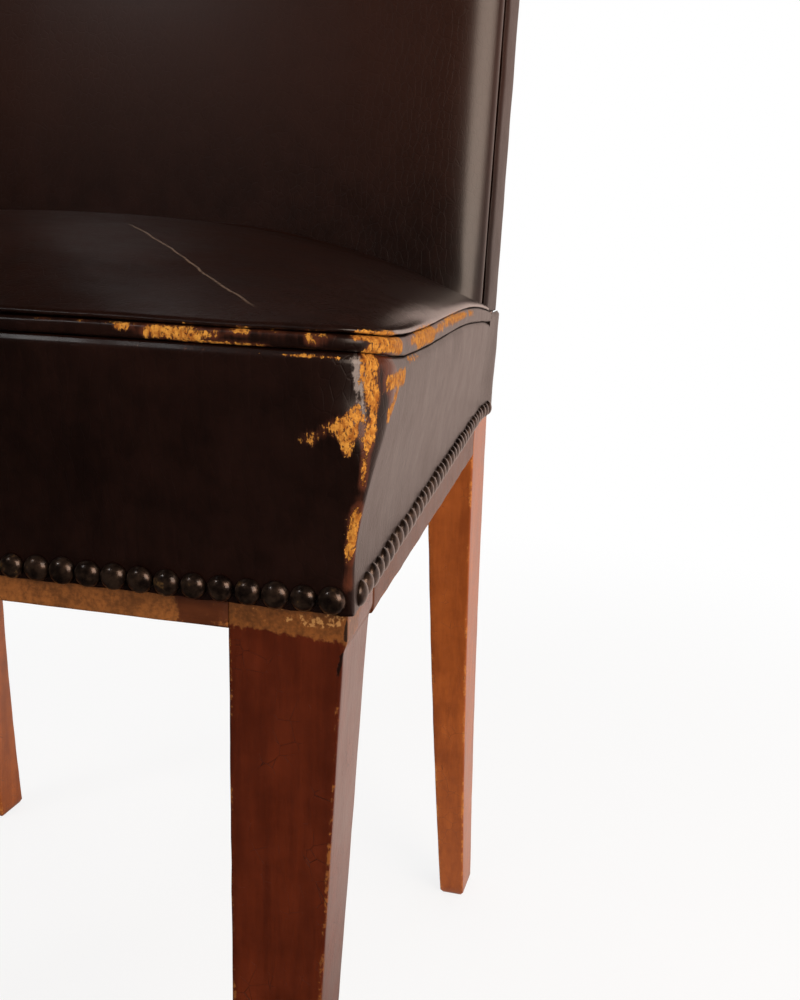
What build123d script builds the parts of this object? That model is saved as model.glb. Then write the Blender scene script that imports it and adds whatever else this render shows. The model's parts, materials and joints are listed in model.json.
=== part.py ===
from build123d import *
import math
import os

# Upholstered dining chair: a leather stuff-over seat and back on a wooden frame, close-nailed on the rails.
# All sizes are millimetres. Left and right are as seen by someone who faces the chair's front. While it is
# built, x runs to the right from the middle, y runs backwards from the front face of the front rail, and z
# runs up from the floor. The last step moves everything so that the origin is the floor point under the
# middle of the outline.

# Frame as a whole
front_width = 466.0
frame_depth = 414.0
side_splay = 4.45
rail_bottom = 350.0
side_rail_drop = 3.6
rail_top = 422.0
rail_thickness = 26.0

# Front legs
front_leg_width = 44.7
front_leg_depth = 44.7
front_leg_shoulder = 1.3
front_foot_width = 26.2
front_foot_depth = 28.0
front_foot_inner_step = 3.5

# Rear legs with their back posts
rear_leg_width = 30.6
rear_leg_depth = 44.0
rear_foot_width = 17.4
rear_foot_depth = 30.0
rear_foot_outer_step = 1.0
rear_foot_kick = 48.0
kick_mid_share = 0.354
back_rake = 9.0
rake_start = 430.0
post_depth = 28.0
post_length = 446.0
post_shoulder_rise = 2.0

# Joints of the frame
tenon_length = 20.0
tenon_thickness = 9.0
tenon_height = 48.0
post_tenon_length = 16.0
joint_clearance = 0.1

# Back rails
stay_rail_height = 36.0
stay_rail_foot = 40.0
crest_rail_height = 54.0
back_rail_thickness = 24.0
back_tenon_height_share = 0.6

# Corner blocks and their screws
corner_block_height = 44.0
corner_block_reach = 48.0
screw_diameter = 4.0
screw_head_diameter = 8.0
screw_head_height = 2.4
screw_length = 34.0
screw_clearance = 0.1
screw_place_share = 0.5

# Leather and cloth
leather_thickness = 1.8
cloth_thickness = 0.6
layer_gap = 0.3
leather_bottom = 360.0
leather_lap = 2.2
back_seam = 436.8

# Edge of the seat: the rim of the top panel, the narrow band under it, and the facing border
edge_front = 460.8
edge_slope = 0.028
edge_bend = 200.0
edge_bend_radius = 1667.0
band_height = 6.6
seam_gap = 0.2
band_rear = 378.0

# Shape of the padded seat
front_bulge = 9.0
side_bulge = 11.5
side_bulge_rear = 6.0
leg_bulge = 2.9
corner_radius_low = 2.0
corner_radius_top = 16.0
flat_above_nails = 3.2
bulge_run = 67.2
crown_rise = 33.5
pad_crown_rise = 18.0
first_stuffing_drop = 12.0
wadding_rise = 22.2
wadding_rear = 330.0
bulge_by_height_shares = (
    (0, 0),
    (0.167, 0.07),
    (0.381, 0.3),
    (0.571, 0.62),
    (0.786, 0.88),
    (1, 1),
)
crown_by_depth_shares = (
    (0, 0),
    (0.07, 0.34),
    (0.18, 0.66),
    (0.34, 0.9),
    (0.55, 1),
    (0.77, 0.96),
    (1, 0.82),
)
crown_least = 0.6

# Webbing, tacks and the cloth under the seat
webbing_width = 50.0
webbing_thickness = 1.6
webbing_inset = 8.0
seat_strips_back = 5
seat_strips_across = 5
back_strips_up = 3
back_strips_across = 4
tack_head_diameter = 6.0
tack_head_height = 0.8
tack_shank_diameter = 1.6
tack_length = 10.0
tack_spacing = 24.0
tack_clearance = 0.1
tack_end_inset = 7.0
bottoming_inset = 9.0
bottoming_tack_pitch = 62.0

# Decorative dome nails
nail_pitch = 10.36
nail_height = 365.0
nail_head_diameter = 9.2
nail_head_height = 3.0
nail_shank_diameter = 1.6
nail_length = 10.6
nail_clearance = 0.1
side_nail_start = 9.8

# Padded back
back_seam_depth = 35.0
back_side_rise = 5.0
back_corner_run = 13.0
back_corner_rise = 15.0
back_crown = 26.0
back_top_radius = 14.0
back_top_roll = 24.0
back_roll_start = 1.0
back_corner_mid_shares = (0.22, 0.62)

# How far cutting solids run past what they cut
overrun = 60.0

splay = math.radians(side_splay)
rake = math.radians(back_rake)
half_front = front_width / 2
rear_leg_y = frame_depth - rear_leg_depth
side_bottom = rail_bottom - side_rail_drop
bulge_start = nail_height + nail_head_diameter / 2 + flat_above_nails
full_bulge_height = bulge_start + bulge_run
wadding_bottom = bulge_start + wadding_rise
post_outer = half_front - rear_leg_y * math.tan(splay)
post_inner = post_outer - rear_leg_width
rear_rail_front = frame_depth - rail_thickness


def half_width(y):
    """Half the frame's width over the side rails, y behind the front face."""
    return half_front - y * math.tan(splay)


def block(x0, x1, y0, y1, z0, z1):
    """A box between two corners."""
    return Pos((x0 + x1) / 2, (y0 + y1) / 2, (z0 + z1) / 2) * Box(x1 - x0, y1 - y0, z1 - z0)


def plan_prism(points, z0, z1):
    """A plan outline made into a solid between two heights."""
    outline = make_face(Polyline(*[(x, y, z0) for x, y in points], close=True))
    return extrude(outline, z1 - z0, dir=(0, 0, 1))


def side_prism(edges, x0, x1):
    """A side view outline, drawn at x = 0, made into a solid between two planes across."""
    return Pos(x0, 0, 0) * extrude(make_face(edges), x1 - x0, dir=(1, 0, 0))


def both(piece):
    """The piece and its mirror image, as left and right."""
    return mirror(piece, about=Plane.YZ), piece


def group(solids):
    """Several equal fasteners or strips kept as one piece of the assembly."""
    return Compound(children=list(solids))


# The padded back is built upright in its own frame and then leaned: x across, v backwards, w up the post.
back_place = Location(
    Plane(
        origin=(0, frame_depth, rake_start),
        x_dir=(1, 0, 0),
        z_dir=(0, math.sin(rake), math.cos(rake)),
    )
)


def back_point(v, w):
    """A point of the leaning back's side view, in the chair's y and z."""
    y = frame_depth + v * math.cos(rake) + w * math.sin(rake)
    z = rake_start - v * math.sin(rake) + w * math.cos(rake)
    return (0, y, z)


def front_leg():
    """The right front leg: a square block between the rails, and a tapered leg under a small shoulder."""
    def section(left, right, depth, z):
        lean = depth * math.tan(splay)
        points = [(left, 0, z), (right, 0, z), (right - lean, depth, z), (left, depth, z)]
        return Wire(Polyline(*points, close=True).edges())

    inner = half_front - front_leg_width
    shoulder = half_front - front_leg_shoulder
    foot_inner = inner + front_foot_inner_step
    top = section(inner, shoulder, front_leg_depth, rail_bottom)
    foot = section(foot_inner, foot_inner + front_foot_width, front_foot_depth, 0)
    outline = [
        (inner, 0),
        (half_front, 0),
        (half_width(front_leg_depth), front_leg_depth),
        (inner, front_leg_depth),
    ]
    return Part() + Solid.make_loft([foot, top], ruled=True) + plan_prism(outline, rail_bottom, rail_top)


def rear_leg():
    """The right rear leg and back post, cut from one plank: kicked back below, leaning back above."""
    foot_front = rear_leg_y + rear_foot_kick
    mid_height = side_bottom / 2
    mid_front = rear_leg_y + rear_foot_kick * kick_mid_share
    mid_depth = (rear_leg_depth + rear_foot_depth) / 2
    shoulder = back_point(-post_depth, post_shoulder_rise)
    edges = [
        ThreePointArc((0, foot_front, 0), (0, mid_front, mid_height), (0, rear_leg_y, side_bottom)),
        Polyline(
            (0, rear_leg_y, side_bottom),
            (0, rear_leg_y, rail_top),
            shoulder,
            back_point(-post_depth, post_length),
            back_point(0, post_length),
            (0, frame_depth, rake_start),
            (0, frame_depth, side_bottom),
        ),
        ThreePointArc(
            (0, frame_depth, side_bottom),
            (0, mid_front + mid_depth, mid_height),
            (0, foot_front + rear_foot_depth, 0),
        ),
        Line((0, foot_front + rear_foot_depth, 0), (0, foot_front, 0)),
    ]
    plank = side_prism(edges, post_inner, post_outer)
    foot_outer = post_outer - rear_foot_outer_step
    foot_inner = foot_outer - rear_foot_width
    reach = frame_depth + rear_foot_kick + overrun
    taper = make_face(
        Polyline(
            (post_inner, 0, side_bottom),
            (foot_inner, 0, 0),
            (post_inner - overrun, 0, 0),
            (post_inner - overrun, 0, side_bottom),
            close=True,
        )
    )
    outer_taper = make_face(
        Polyline(
            (post_outer, 0, side_bottom),
            (foot_outer, 0, 0),
            (post_outer + overrun, 0, 0),
            (post_outer + overrun, 0, side_bottom),
            close=True,
        )
    )
    leg = plank - extrude(taper, reach, dir=(0, 1, 0)) - extrude(outer_taper, reach, dir=(0, 1, 0))
    return leg - back_place * post_rounding(0)


def post_rounding(inset):
    """What is rounded off the right post's outer top corner, or off a layer some inset inside it, in the
    back's own frame."""
    radius = back_top_radius - leather_thickness - layer_gap
    low = post_length - radius
    side = post_outer - radius
    square = block(side, post_outer + overrun, -overrun, overrun, low, post_length + overrun)
    corner = Cylinder(radius - inset, overrun * 2 + rear_leg_depth)
    return square - Pos(side, 0, low) * Rot(90, 0, 0) * corner


def under_back():
    """Everything below the foot of the leaning back, as a cutting solid."""
    reach = half_front + overrun
    return block(-reach, reach, -overrun, frame_depth + rear_foot_kick + overrun, 0, back_seam)


def back_outline_prism(inset):
    """The back's front view with its two rounded top corners, as a deep solid in the back's own frame."""
    half = post_outer + leather_thickness + layer_gap - inset
    top = post_length + leather_thickness + layer_gap - inset
    radius = back_top_radius - inset
    bend = radius * (1 - math.sqrt(0.5))
    edges = [
        Line((-half, 0, -rake_start), (half, 0, -rake_start)),
        Line((half, 0, -rake_start), (half, 0, top - radius)),
        ThreePointArc((half, 0, top - radius), (half - bend, 0, top - bend), (half - radius, 0, top)),
        Line((half - radius, 0, top), (radius - half, 0, top)),
        ThreePointArc((radius - half, 0, top), (bend - half, 0, top - bend), (-half, 0, top - radius)),
        Line((-half, 0, top - radius), (-half, 0, -rake_start)),
    ]
    depth = rear_leg_depth + overrun
    return Pos(0, -depth, 0) * extrude(make_face(edges), depth * 2, dir=(0, 1, 0))


tenon_low = (rail_bottom + rail_top - tenon_height) / 2
tenon_high = tenon_low + tenon_height
tenon_side = (rail_thickness - tenon_thickness) / 2


def front_tenon(grow):
    """The right tenon of the front rail, or its mortise when it is grown."""
    inner = half_front - front_leg_width
    y0 = tenon_side - grow
    y1 = tenon_side + tenon_thickness + grow
    return block(inner, inner + tenon_length + grow, y0, y1, tenon_low - grow, tenon_high + grow)


def rear_tenon(grow):
    """The right tenon of the rear rail, or its mortise when it is grown."""
    y0 = rear_rail_front + tenon_side - grow
    y1 = rear_rail_front + tenon_side + tenon_thickness + grow
    length = tenon_length + grow
    return block(post_inner, post_inner + length, y0, y1, tenon_low - grow, tenon_high + grow)


def side_strip(out_from, out_to, y0, y1, z0, z1):
    """A strip that runs along the right side rail between two distances inside its outer face."""
    a = out_from / math.cos(splay)
    b = out_to / math.cos(splay)
    points = [
        (half_width(y0) - a, y0),
        (half_width(y1) - a, y1),
        (half_width(y1) - b, y1),
        (half_width(y0) - b, y0),
    ]
    return plan_prism(points, z0, z1)


def side_tenon(grow):
    """Both tenons of the right side rail, or their mortises when grown."""
    near = tenon_side - grow
    far = tenon_side + tenon_thickness + grow
    run = tenon_length + grow
    front = side_strip(near, far, front_leg_depth - run, front_leg_depth, tenon_low - grow, tenon_high + grow)
    rear = side_strip(near, far, rear_leg_y, rear_leg_y + run, tenon_low - grow, tenon_high + grow)
    return front, rear


def front_rail():
    inner = half_front - front_leg_width
    tenons = both(front_tenon(0))
    return block(-inner, inner, 0, rail_thickness, rail_bottom, rail_top) + tenons[0] + tenons[1]


def rear_rail():
    tenons = both(rear_tenon(0))
    body = block(-post_inner, post_inner, rear_rail_front, frame_depth, side_bottom, rail_top)
    return body + tenons[0] + tenons[1]


def side_rail():
    front, rear = side_tenon(0)
    body = side_strip(0, rail_thickness, front_leg_depth, rear_leg_y, side_bottom, rail_top)
    return body + front + rear


def back_tenon(foot, height, grow):
    """The right tenon of a rail between the posts, in the back's own frame."""
    tall = height * back_tenon_height_share
    low = foot + (height - tall) / 2
    mid = -post_depth / 2
    half = tenon_thickness / 2 + grow
    length = post_tenon_length + grow
    return block(post_inner, post_inner + length, mid - half, mid + half, low - grow, low + tall + grow)


crest_rail_foot = post_length - crest_rail_height
back_rails = ((stay_rail_foot, stay_rail_height), (crest_rail_foot, crest_rail_height))


def back_rail(foot, height):
    """A rail between the posts, in the back's own frame."""
    mid = -post_depth / 2
    half = back_rail_thickness / 2
    tenons = both(back_tenon(foot, height, 0))
    return block(-post_inner, post_inner, mid - half, mid + half, foot, foot + height) + tenons[0] + tenons[1]


corner_low = (rail_bottom + rail_top - corner_block_height) / 2
corner_high = corner_low + corner_block_height


def side_inner(y):
    """Where the inner face of the right side rail is, y behind the front face."""
    return half_width(y) - rail_thickness / math.cos(splay)


def front_corner_block():
    """A block glued across the right front corner, notched round the leg."""
    leg_inner = half_front - front_leg_width
    side_end = front_leg_depth + corner_block_reach
    points = [
        (leg_inner - corner_block_reach, rail_thickness),
        (leg_inner, rail_thickness),
        (leg_inner, front_leg_depth),
        (side_inner(front_leg_depth), front_leg_depth),
        (side_inner(side_end), side_end),
    ]
    return plan_prism(points, corner_low, corner_high)


def rear_corner_block():
    """A block glued across the right rear corner, notched round the leg."""
    side_end = rear_leg_y - corner_block_reach
    points = [
        (post_inner - corner_block_reach, rear_rail_front),
        (side_inner(side_end), side_end),
        (side_inner(rear_leg_y), rear_leg_y),
        (post_inner, rear_leg_y),
        (post_inner, rear_rail_front),
    ]
    return plan_prism(points, corner_low, corner_high)


def screw(grow):
    """A countersunk screw whose head's face is at the origin and whose point is down, or its hole."""
    head = screw_head_diameter / 2 + grow
    shank = screw_diameter / 2 + grow
    long = screw_length + grow
    half_view = make_face(
        Polyline(
            (0, 0, 0),
            (head, 0, 0),
            (shank, 0, -screw_head_height),
            (shank, 0, -long),
            (0, 0, -long),
            close=True,
        )
    )
    return revolve(half_view, axis=Axis.Z)


def slanted_face_places(p, q, toward):
    """Where a screw enters the slanted face between plan points p and q, pointing along toward."""
    x = p[0] + (q[0] - p[0]) * screw_place_share
    y = p[1] + (q[1] - p[1]) * screw_place_share
    height = (corner_low + corner_high) / 2
    return Location(Plane(origin=(x, y, height), z_dir=(-toward[0], -toward[1], 0)))


def corner_screw_places():
    """One screw through each right corner block, square to its slanted face, into the corner."""
    leg_inner = half_front - front_leg_width
    side_end = front_leg_depth + corner_block_reach
    front_p = (leg_inner - corner_block_reach, rail_thickness)
    front_q = (side_inner(side_end), side_end)
    rear_end = rear_leg_y - corner_block_reach
    rear_p = (post_inner - corner_block_reach, rear_rail_front)
    rear_q = (side_inner(rear_end), rear_end)
    front_across = (front_q[0] - front_p[0], front_q[1] - front_p[1])
    rear_across = (rear_q[0] - rear_p[0], rear_q[1] - rear_p[1])
    return (
        slanted_face_places(front_p, front_q, (front_across[1], -front_across[0])),
        slanted_face_places(rear_p, rear_q, (-rear_across[1], rear_across[0])),
    )


def edge_height(y):
    """Height of the top panel's rim, y behind the front: a gentle fall, then a curve down under the back."""
    if y <= edge_bend:
        return edge_front - edge_slope * y
    long = math.hypot(1, edge_slope)
    centre_y = edge_bend - edge_bend_radius * edge_slope / long
    centre_z = edge_front - edge_slope * edge_bend - edge_bend_radius / long
    return centre_z + math.sqrt(edge_bend_radius**2 - (y - centre_y) ** 2)


def under_edge(drop):
    """Everything lower than the rim of the seat less a drop, as a cutting solid."""
    front = -overrun
    rear = frame_depth + overrun
    middle = (edge_bend + rear) / 2
    edges = [
        Polyline(
            (0, edge_bend, edge_height(edge_bend) - drop),
            (0, front, edge_height(front) - drop),
            (0, front, 0),
            (0, rear, 0),
            (0, rear, edge_height(rear) - drop),
        ),
        ThreePointArc(
            (0, rear, edge_height(rear) - drop),
            (0, middle, edge_height(middle) - drop),
            (0, edge_bend, edge_height(edge_bend) - drop),
        ),
    ]
    reach = half_front + overrun
    return side_prism(edges, -reach, reach)


above_seat = edge_front + overrun


def seat_outline(z, share, inset):
    """Plan of the covered seat at one height, with its bulge over the rails as a share of the full bulge."""
    def out(full):
        return leather_lap + (full - leather_lap) * share - inset

    front = -out(front_bulge)
    front_x = half_front + out(side_bulge)
    kink_x = post_outer + out(side_bulge_rear)
    rear_x = post_outer + out(leg_bulge)
    rear = frame_depth + overrun
    radius = corner_radius_low + (corner_radius_top - corner_radius_low) * share - inset / 2
    lean = math.atan2(front_x - kink_x, rear_leg_y)
    corner_x = front_x - front * math.tan(lean)
    # The corner's arc touches the front line and the leaning side line.
    turn = math.pi / 2 - lean
    run = radius * math.tan(turn / 2)
    centre = (corner_x - run, front + radius)
    half_turn = -math.pi / 2 + turn / 2
    mid = (centre[0] + radius * math.cos(half_turn), centre[1] + radius * math.sin(half_turn))
    start = (corner_x - run, front)
    end = (corner_x - run * math.sin(lean), front + run * math.cos(lean))
    edges = [
        Line((-start[0], front, z), (start[0], front, z)),
        ThreePointArc((*start, z), (*mid, z), (*end, z)),
        Line((*end, z), (kink_x, rear_leg_y, z)),
        Line((kink_x, rear_leg_y, z), (rear_x, rear, z)),
        Line((rear_x, rear, z), (-rear_x, rear, z)),
        Line((-rear_x, rear, z), (-kink_x, rear_leg_y, z)),
        Line((-kink_x, rear_leg_y, z), (-end[0], end[1], z)),
        ThreePointArc((-end[0], end[1], z), (-mid[0], mid[1], z), (-start[0], start[1], z)),
    ]
    return Wire(edges)


def seat_body(inset):
    """The covered seat's outer shape less an inset, upright above the height where its sides bulge fully."""
    flat = (leather_bottom, (leather_bottom + bulge_start) / 2)
    wires = [seat_outline(z, 0, inset) for z in flat]
    wires += [seat_outline(bulge_start + bulge_run * h, s, inset) for h, s in bulge_by_height_shares]
    top = make_face(seat_outline(full_bulge_height, 1, inset).edges())
    top = extrude(top, above_seat - full_bulge_height, dir=(0, 0, 1))
    return Part() + Solid.make_loft(wires) + top


def crown_body(drop, rise):
    """Everything under the seat's crown, lowered by a drop, with the crown's rise over its edges."""
    wires = []
    front = -front_bulge - layer_gap
    half_at_front = half_front + side_bulge
    narrowing = half_at_front - post_outer - leg_bulge
    for depth, share in crown_by_depth_shares:
        y = front + depth * (frame_depth - front)
        half = half_at_front - narrowing * depth
        edge = edge_height(y) - drop
        top = edge_front - drop + rise * share
        sag = max(top - edge, crown_least)
        top = edge + sag
        radius = (half**2 + sag**2) / (2 * sag)
        wide = half + overrun / 2
        low = top - radius + math.sqrt(radius**2 - wide**2)
        edges = [
            Line((-wide, y, rail_bottom), (wide, y, rail_bottom)),
            Line((wide, y, rail_bottom), (wide, y, low)),
            ThreePointArc((wide, y, low), (0, y, top), (-wide, y, low)),
            Line((-wide, y, low), (-wide, y, rail_bottom)),
        ]
        wires.append(Wire(edges))
    return Part() + Solid.make_loft(wires)


def back_body(inset, rear):
    """The padded inside back less an inset, in its own frame, reaching back to a plane: straight sides,
    rounded corners, a crowned front and a rolled top."""
    half = post_outer - inset
    top = post_length - inset
    side_v = inset - back_seam_depth - back_side_rise
    corner_v = inset - back_seam_depth - back_corner_rise
    crown_v = inset - back_seam_depth - back_crown
    run_share, rise_share = back_corner_mid_shares
    corner_x = half - back_corner_run
    mid_x = half - back_corner_run * run_share
    mid_v = side_v + (corner_v - side_v) * rise_share
    plan = [
        Line((-half, rear, 0), (half, rear, 0)),
        Line((half, rear, 0), (half, side_v, 0)),
        ThreePointArc((half, side_v, 0), (mid_x, mid_v, 0), (corner_x, corner_v, 0)),
        ThreePointArc((corner_x, corner_v, 0), (0, crown_v, 0), (-corner_x, corner_v, 0)),
        ThreePointArc((-corner_x, corner_v, 0), (-mid_x, mid_v, 0), (-half, side_v, 0)),
        Line((-half, side_v, 0), (-half, rear, 0)),
    ]
    body = Pos(0, 0, -overrun) * extrude(make_face(plan), top + overrun * 2, dir=(0, 0, 1))
    # The roll starts a little in front of the crown, so that it cuts the crown in a clean line.
    front_v = crown_v - back_roll_start
    roll_v = inset - back_seam_depth
    roll_w = top - back_top_roll
    bend = 1 - math.sqrt(0.5)
    roll = [
        Polyline(
            (0, roll_v, top),
            (0, overrun, top),
            (0, overrun, -overrun),
            (0, front_v, -overrun),
            (0, front_v, roll_w),
        ),
        ThreePointArc(
            (0, front_v, roll_w),
            (0, front_v + (roll_v - front_v) * bend, roll_w + (top - roll_w) * (1 - bend)),
            (0, roll_v, top),
        ),
    ]
    body = body & side_prism(roll, -half - overrun, half + overrun)
    return body - [*both(post_rounding(inset))]


def leaned(piece):
    """A piece of the back put in its place on the leaning posts, cut off level above the seat."""
    return back_place * piece - under_back()


hessian_level = rail_top + webbing_thickness * 2 + tack_head_height + layer_gap
back_hessian_v = -post_depth - webbing_thickness - tack_head_height - layer_gap
back_pad_v = back_hessian_v - cloth_thickness - layer_gap
calico_depth = leather_thickness + seam_gap
pad_depth = calico_depth + cloth_thickness + seam_gap
scrim_depth = first_stuffing_drop + seam_gap
fibre_depth = scrim_depth + cloth_thickness + seam_gap


def back_room():
    """The space that the padded back takes from the seat, with its clearance."""
    clear = layer_gap + seam_gap / 2
    pad = back_body(-clear, -post_depth / 2)
    outline = back_outline_prism(-clear)
    reach = half_front + overrun
    strip = outline & block(-reach, reach, -back_seam_depth - clear, overrun, -overrun, post_length)
    return back_place * (pad + strip) - Pos(0, 0, -clear) * under_back()


def post_room():
    """The space round the two rear legs and posts, with its clearance."""
    x0 = post_inner - layer_gap
    x1 = post_outer + layer_gap
    y0 = rear_leg_y - layer_gap
    right = block(x0, x1, y0, frame_depth + overrun, rail_bottom, above_seat)
    left, right = both(right)
    return left + right


def in_seat(piece, room):
    """A layer of the seat's padding, stopped at the rear rail and cut clear of the posts and the back."""
    reach = half_front + overrun
    rear = rear_rail_front - layer_gap
    return (piece & block(-reach, reach, -overrun, rear, 0, above_seat)) - room


def crown_layer(upper, lower, rise, inset, room):
    """A thin sheet of the seat between two depths under its crown."""
    sheet = (crown_body(upper, rise) & seat_body(inset)) - crown_body(lower, rise)
    return in_seat(sheet, room)


def seat_pads(room):
    """The two layers of stuffing: fibre below, curled hair above."""
    inset = leather_thickness + layer_gap
    body = seat_body(inset)
    reach = half_front + overrun
    low = hessian_level + cloth_thickness + layer_gap
    above = block(-reach, reach, -overrun, frame_depth, low, above_seat)
    fibre = body & crown_body(fibre_depth, pad_crown_rise) & above
    hair = (body & crown_body(pad_depth, crown_rise)) - crown_body(first_stuffing_drop, pad_crown_rise)
    return in_seat(fibre, room), in_seat(hair & above, room)


def waddings():
    """Thin wadding over the faces of the front and side rails, under the leather."""
    body = seat_body(leather_thickness + layer_gap)
    high = hessian_level
    reach = half_front + overrun
    front = body & block(-reach, reach, -overrun, -layer_gap, wadding_bottom, high)
    strip = side_strip(-overrun, -layer_gap, 0, wadding_rear, wadding_bottom, high)
    left, right = both(body & strip)
    return front, left, right


def facing_leather():
    """The narrow band and the facing border, cut from one shell that follows the seat's sides."""
    shell = seat_body(0) - seat_body(leather_thickness)
    reach = half_front + overrun
    rear_end = frame_depth + outside_back_out
    band_drop = leather_thickness + layer_gap + seam_gap
    border_drop = leather_thickness + band_height + seam_gap
    band = (shell & under_edge(band_drop)) - under_edge(border_drop)
    band = band & block(-reach, reach, -overrun, band_rear, rail_bottom, above_seat)
    low = under_edge(border_drop + seam_gap)
    rear_part = block(-reach, reach, band_rear, rear_end, rail_bottom, back_seam - seam_gap)
    front_part = block(-reach, reach, -overrun, band_rear, rail_bottom, above_seat) & low
    border = shell & (front_part + rear_part)
    return band, border


lining_in = seam_gap
lining_out = lining_in + cloth_thickness
outside_back_in = lining_out + seam_gap
outside_back_out = outside_back_in + leather_thickness


def rear_sheet(near, far):
    """A sheet over the back of the chair, from the rear rail up to the top, between two distances behind."""
    bend = math.tan(rake / 2)
    top = post_length + layer_gap - seam_gap
    edges = Polyline(
        (0, frame_depth + near, leather_bottom),
        (0, frame_depth + near, rake_start - near * bend),
        back_point(near, top + overrun),
        back_point(far, top + overrun),
        (0, frame_depth + far, rake_start - far * bend),
        (0, frame_depth + far, leather_bottom),
        close=True,
    )
    reach = half_front + overrun
    sheet = side_prism(edges.edges(), -reach, reach)
    return sheet & (back_place * back_outline_prism(leather_thickness + seam_gap))


def back_border():
    """The strip of leather over both sides and the top of the back, in the back's own frame."""
    reach = half_front + overrun
    ring = back_outline_prism(0) - back_outline_prism(leather_thickness)
    high = post_length + overrun
    return ring & block(-reach, reach, -back_seam_depth, outside_back_out, -overrun, high)


def pin(head_radius, head_height, shank_radius, length):
    """A tack: a flat head on the origin plane, and a shank pointing down."""
    head = Pos(0, 0, head_height / 2) * Cylinder(head_radius, head_height)
    return head + Pos(0, 0, -length / 2) * Cylinder(shank_radius, length)


def dome_nail():
    """A dome-headed nail: the rim of the dome on the origin plane, the shank pointing down."""
    radius = nail_head_diameter / 2
    shank = nail_shank_diameter / 2
    swell = (radius**2 + nail_head_height**2) / (2 * nail_head_height)
    slope = math.asin(radius / swell) / 2
    mid = (swell * math.sin(slope), 0, swell * math.cos(slope) - swell + nail_head_height)
    half_view = [
        ThreePointArc((0, 0, nail_head_height), mid, (radius, 0, 0)),
        Polyline((radius, 0, 0), (shank, 0, 0), (shank, 0, -nail_length), (0, 0, -nail_length)),
        Line((0, 0, -nail_length), (0, 0, nail_head_height)),
    ]
    return revolve(make_face(half_view), axis=Axis.Z)


def hole(shank_diameter, length, clearance):
    """The hole of a nail or tack, from just above its head's plane down past its point."""
    radius = shank_diameter / 2 + clearance
    above = layer_gap + leather_thickness
    tall = length + clearance + above
    return Pos(0, 0, above - tall / 2) * Cylinder(radius, tall)


def place(x, y, z, outward):
    """A place on a surface whose outward direction becomes the fastener's own up."""
    return Location(Plane(origin=(x, y, z), z_dir=outward))


def front_nail_places():
    count = round(front_width / nail_pitch)
    start = -(count - 1) * nail_pitch / 2
    y = -leather_lap - layer_gap
    return [place(start + i * nail_pitch, y, nail_height, (0, -1, 0)) for i in range(count)]


def side_nail_places():
    """Along the right side rail, then over the rear leg, which stands square to the front."""
    out = leather_lap + layer_gap
    places = []
    for i in range(int((frame_depth - side_nail_start) / nail_pitch)):
        y = (side_nail_start + i * nail_pitch) * math.cos(splay)
        if y < rear_leg_y:
            x = half_width(y) + out / math.cos(splay)
            outward = (math.cos(splay), math.sin(splay), 0)
        else:
            x = post_outer + out
            outward = (1, 0, 0)
        places.append(place(x, y, nail_height, outward))
    return places


def rear_nail_places():
    count = round(post_outer * 2 / nail_pitch)
    start = -(count - 1) * nail_pitch / 2
    y = frame_depth + outside_back_out + layer_gap
    return [place(start + i * nail_pitch, y, nail_height, (0, 1, 0)) for i in range(count)]


def spread(first, last, count):
    """Evenly spaced places from the first to the last."""
    return [first + (last - first) * i / (count - 1) for i in range(count)]


def seat_webbing():
    """Strips over the rails, front to back below and side to side on top, and where their tacks go."""
    low = rail_top
    mid = low + webbing_thickness
    high = mid + webbing_thickness
    half = webbing_width / 2
    far_x = post_inner - half - webbing_inset
    lengthways, across, tacks = [], [], []
    for x in spread(-far_x, far_x, seat_strips_back):
        lengthways.append(block(x - half, x + half, webbing_inset, frame_depth - webbing_inset, low, mid))
        for y in (webbing_inset + tack_end_inset, frame_depth - webbing_inset - tack_end_inset):
            tacks += [(x - tack_spacing / 2, y, mid), (x + tack_spacing / 2, y, mid)]
    first = rail_thickness + half
    last = rear_leg_y - half - webbing_inset
    for y in spread(first, last, seat_strips_across):
        end = half_width(y + half) - webbing_inset
        across.append(block(-end, end, y - half, y + half, mid, high))
        for x in (-end + tack_end_inset, end - tack_end_inset):
            tacks += [(x, y - tack_spacing / 2, high), (x, y + tack_spacing / 2, high)]
    return lengthways, across, [place(*at, (0, 0, 1)) for at in tacks]


def back_webbing():
    """Upright strips between the back rails and strips across the posts, in the back's own frame."""
    rail_front = -post_depth / 2 - back_rail_thickness / 2
    half = webbing_width / 2
    upright, across, tacks = [], [], []
    low = stay_rail_foot + tack_end_inset
    high = post_length - tack_end_inset
    front = rail_front - webbing_thickness
    far_x = post_inner - webbing_width - webbing_inset
    for x in spread(-far_x, far_x, back_strips_up):
        upright.append(block(x - half, x + half, front, rail_front, low, high))
        for w in (low + tack_end_inset, high - tack_end_inset):
            tacks += [(x - tack_spacing / 2, front, w), (x + tack_spacing / 2, front, w)]
    end = post_outer - webbing_inset
    front = -post_depth - webbing_thickness
    first = stay_rail_foot + stay_rail_height + webbing_width
    last = crest_rail_foot - webbing_width
    for w in spread(first, last, back_strips_across):
        across.append(block(-end, end, front, -post_depth, w - half, w + half))
        for x in (-end + tack_end_inset, end - tack_end_inset):
            tacks += [(x, front, w - tack_spacing / 2), (x, front, w + tack_spacing / 2)]
    return upright, across, [place(*at, (0, -1, 0)) for at in tacks]


def seat_hessian():
    """Coarse cloth over the webbing, cut round the rear legs."""
    inset = webbing_inset / math.cos(splay)
    rear = frame_depth - webbing_inset
    outline = [
        (half_front - inset, webbing_inset),
        (half_width(rear) - inset, rear),
        (-half_width(rear) + inset, rear),
        (-half_front + inset, webbing_inset),
    ]
    return plan_prism(outline, hessian_level, hessian_level + cloth_thickness) - post_room()


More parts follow.
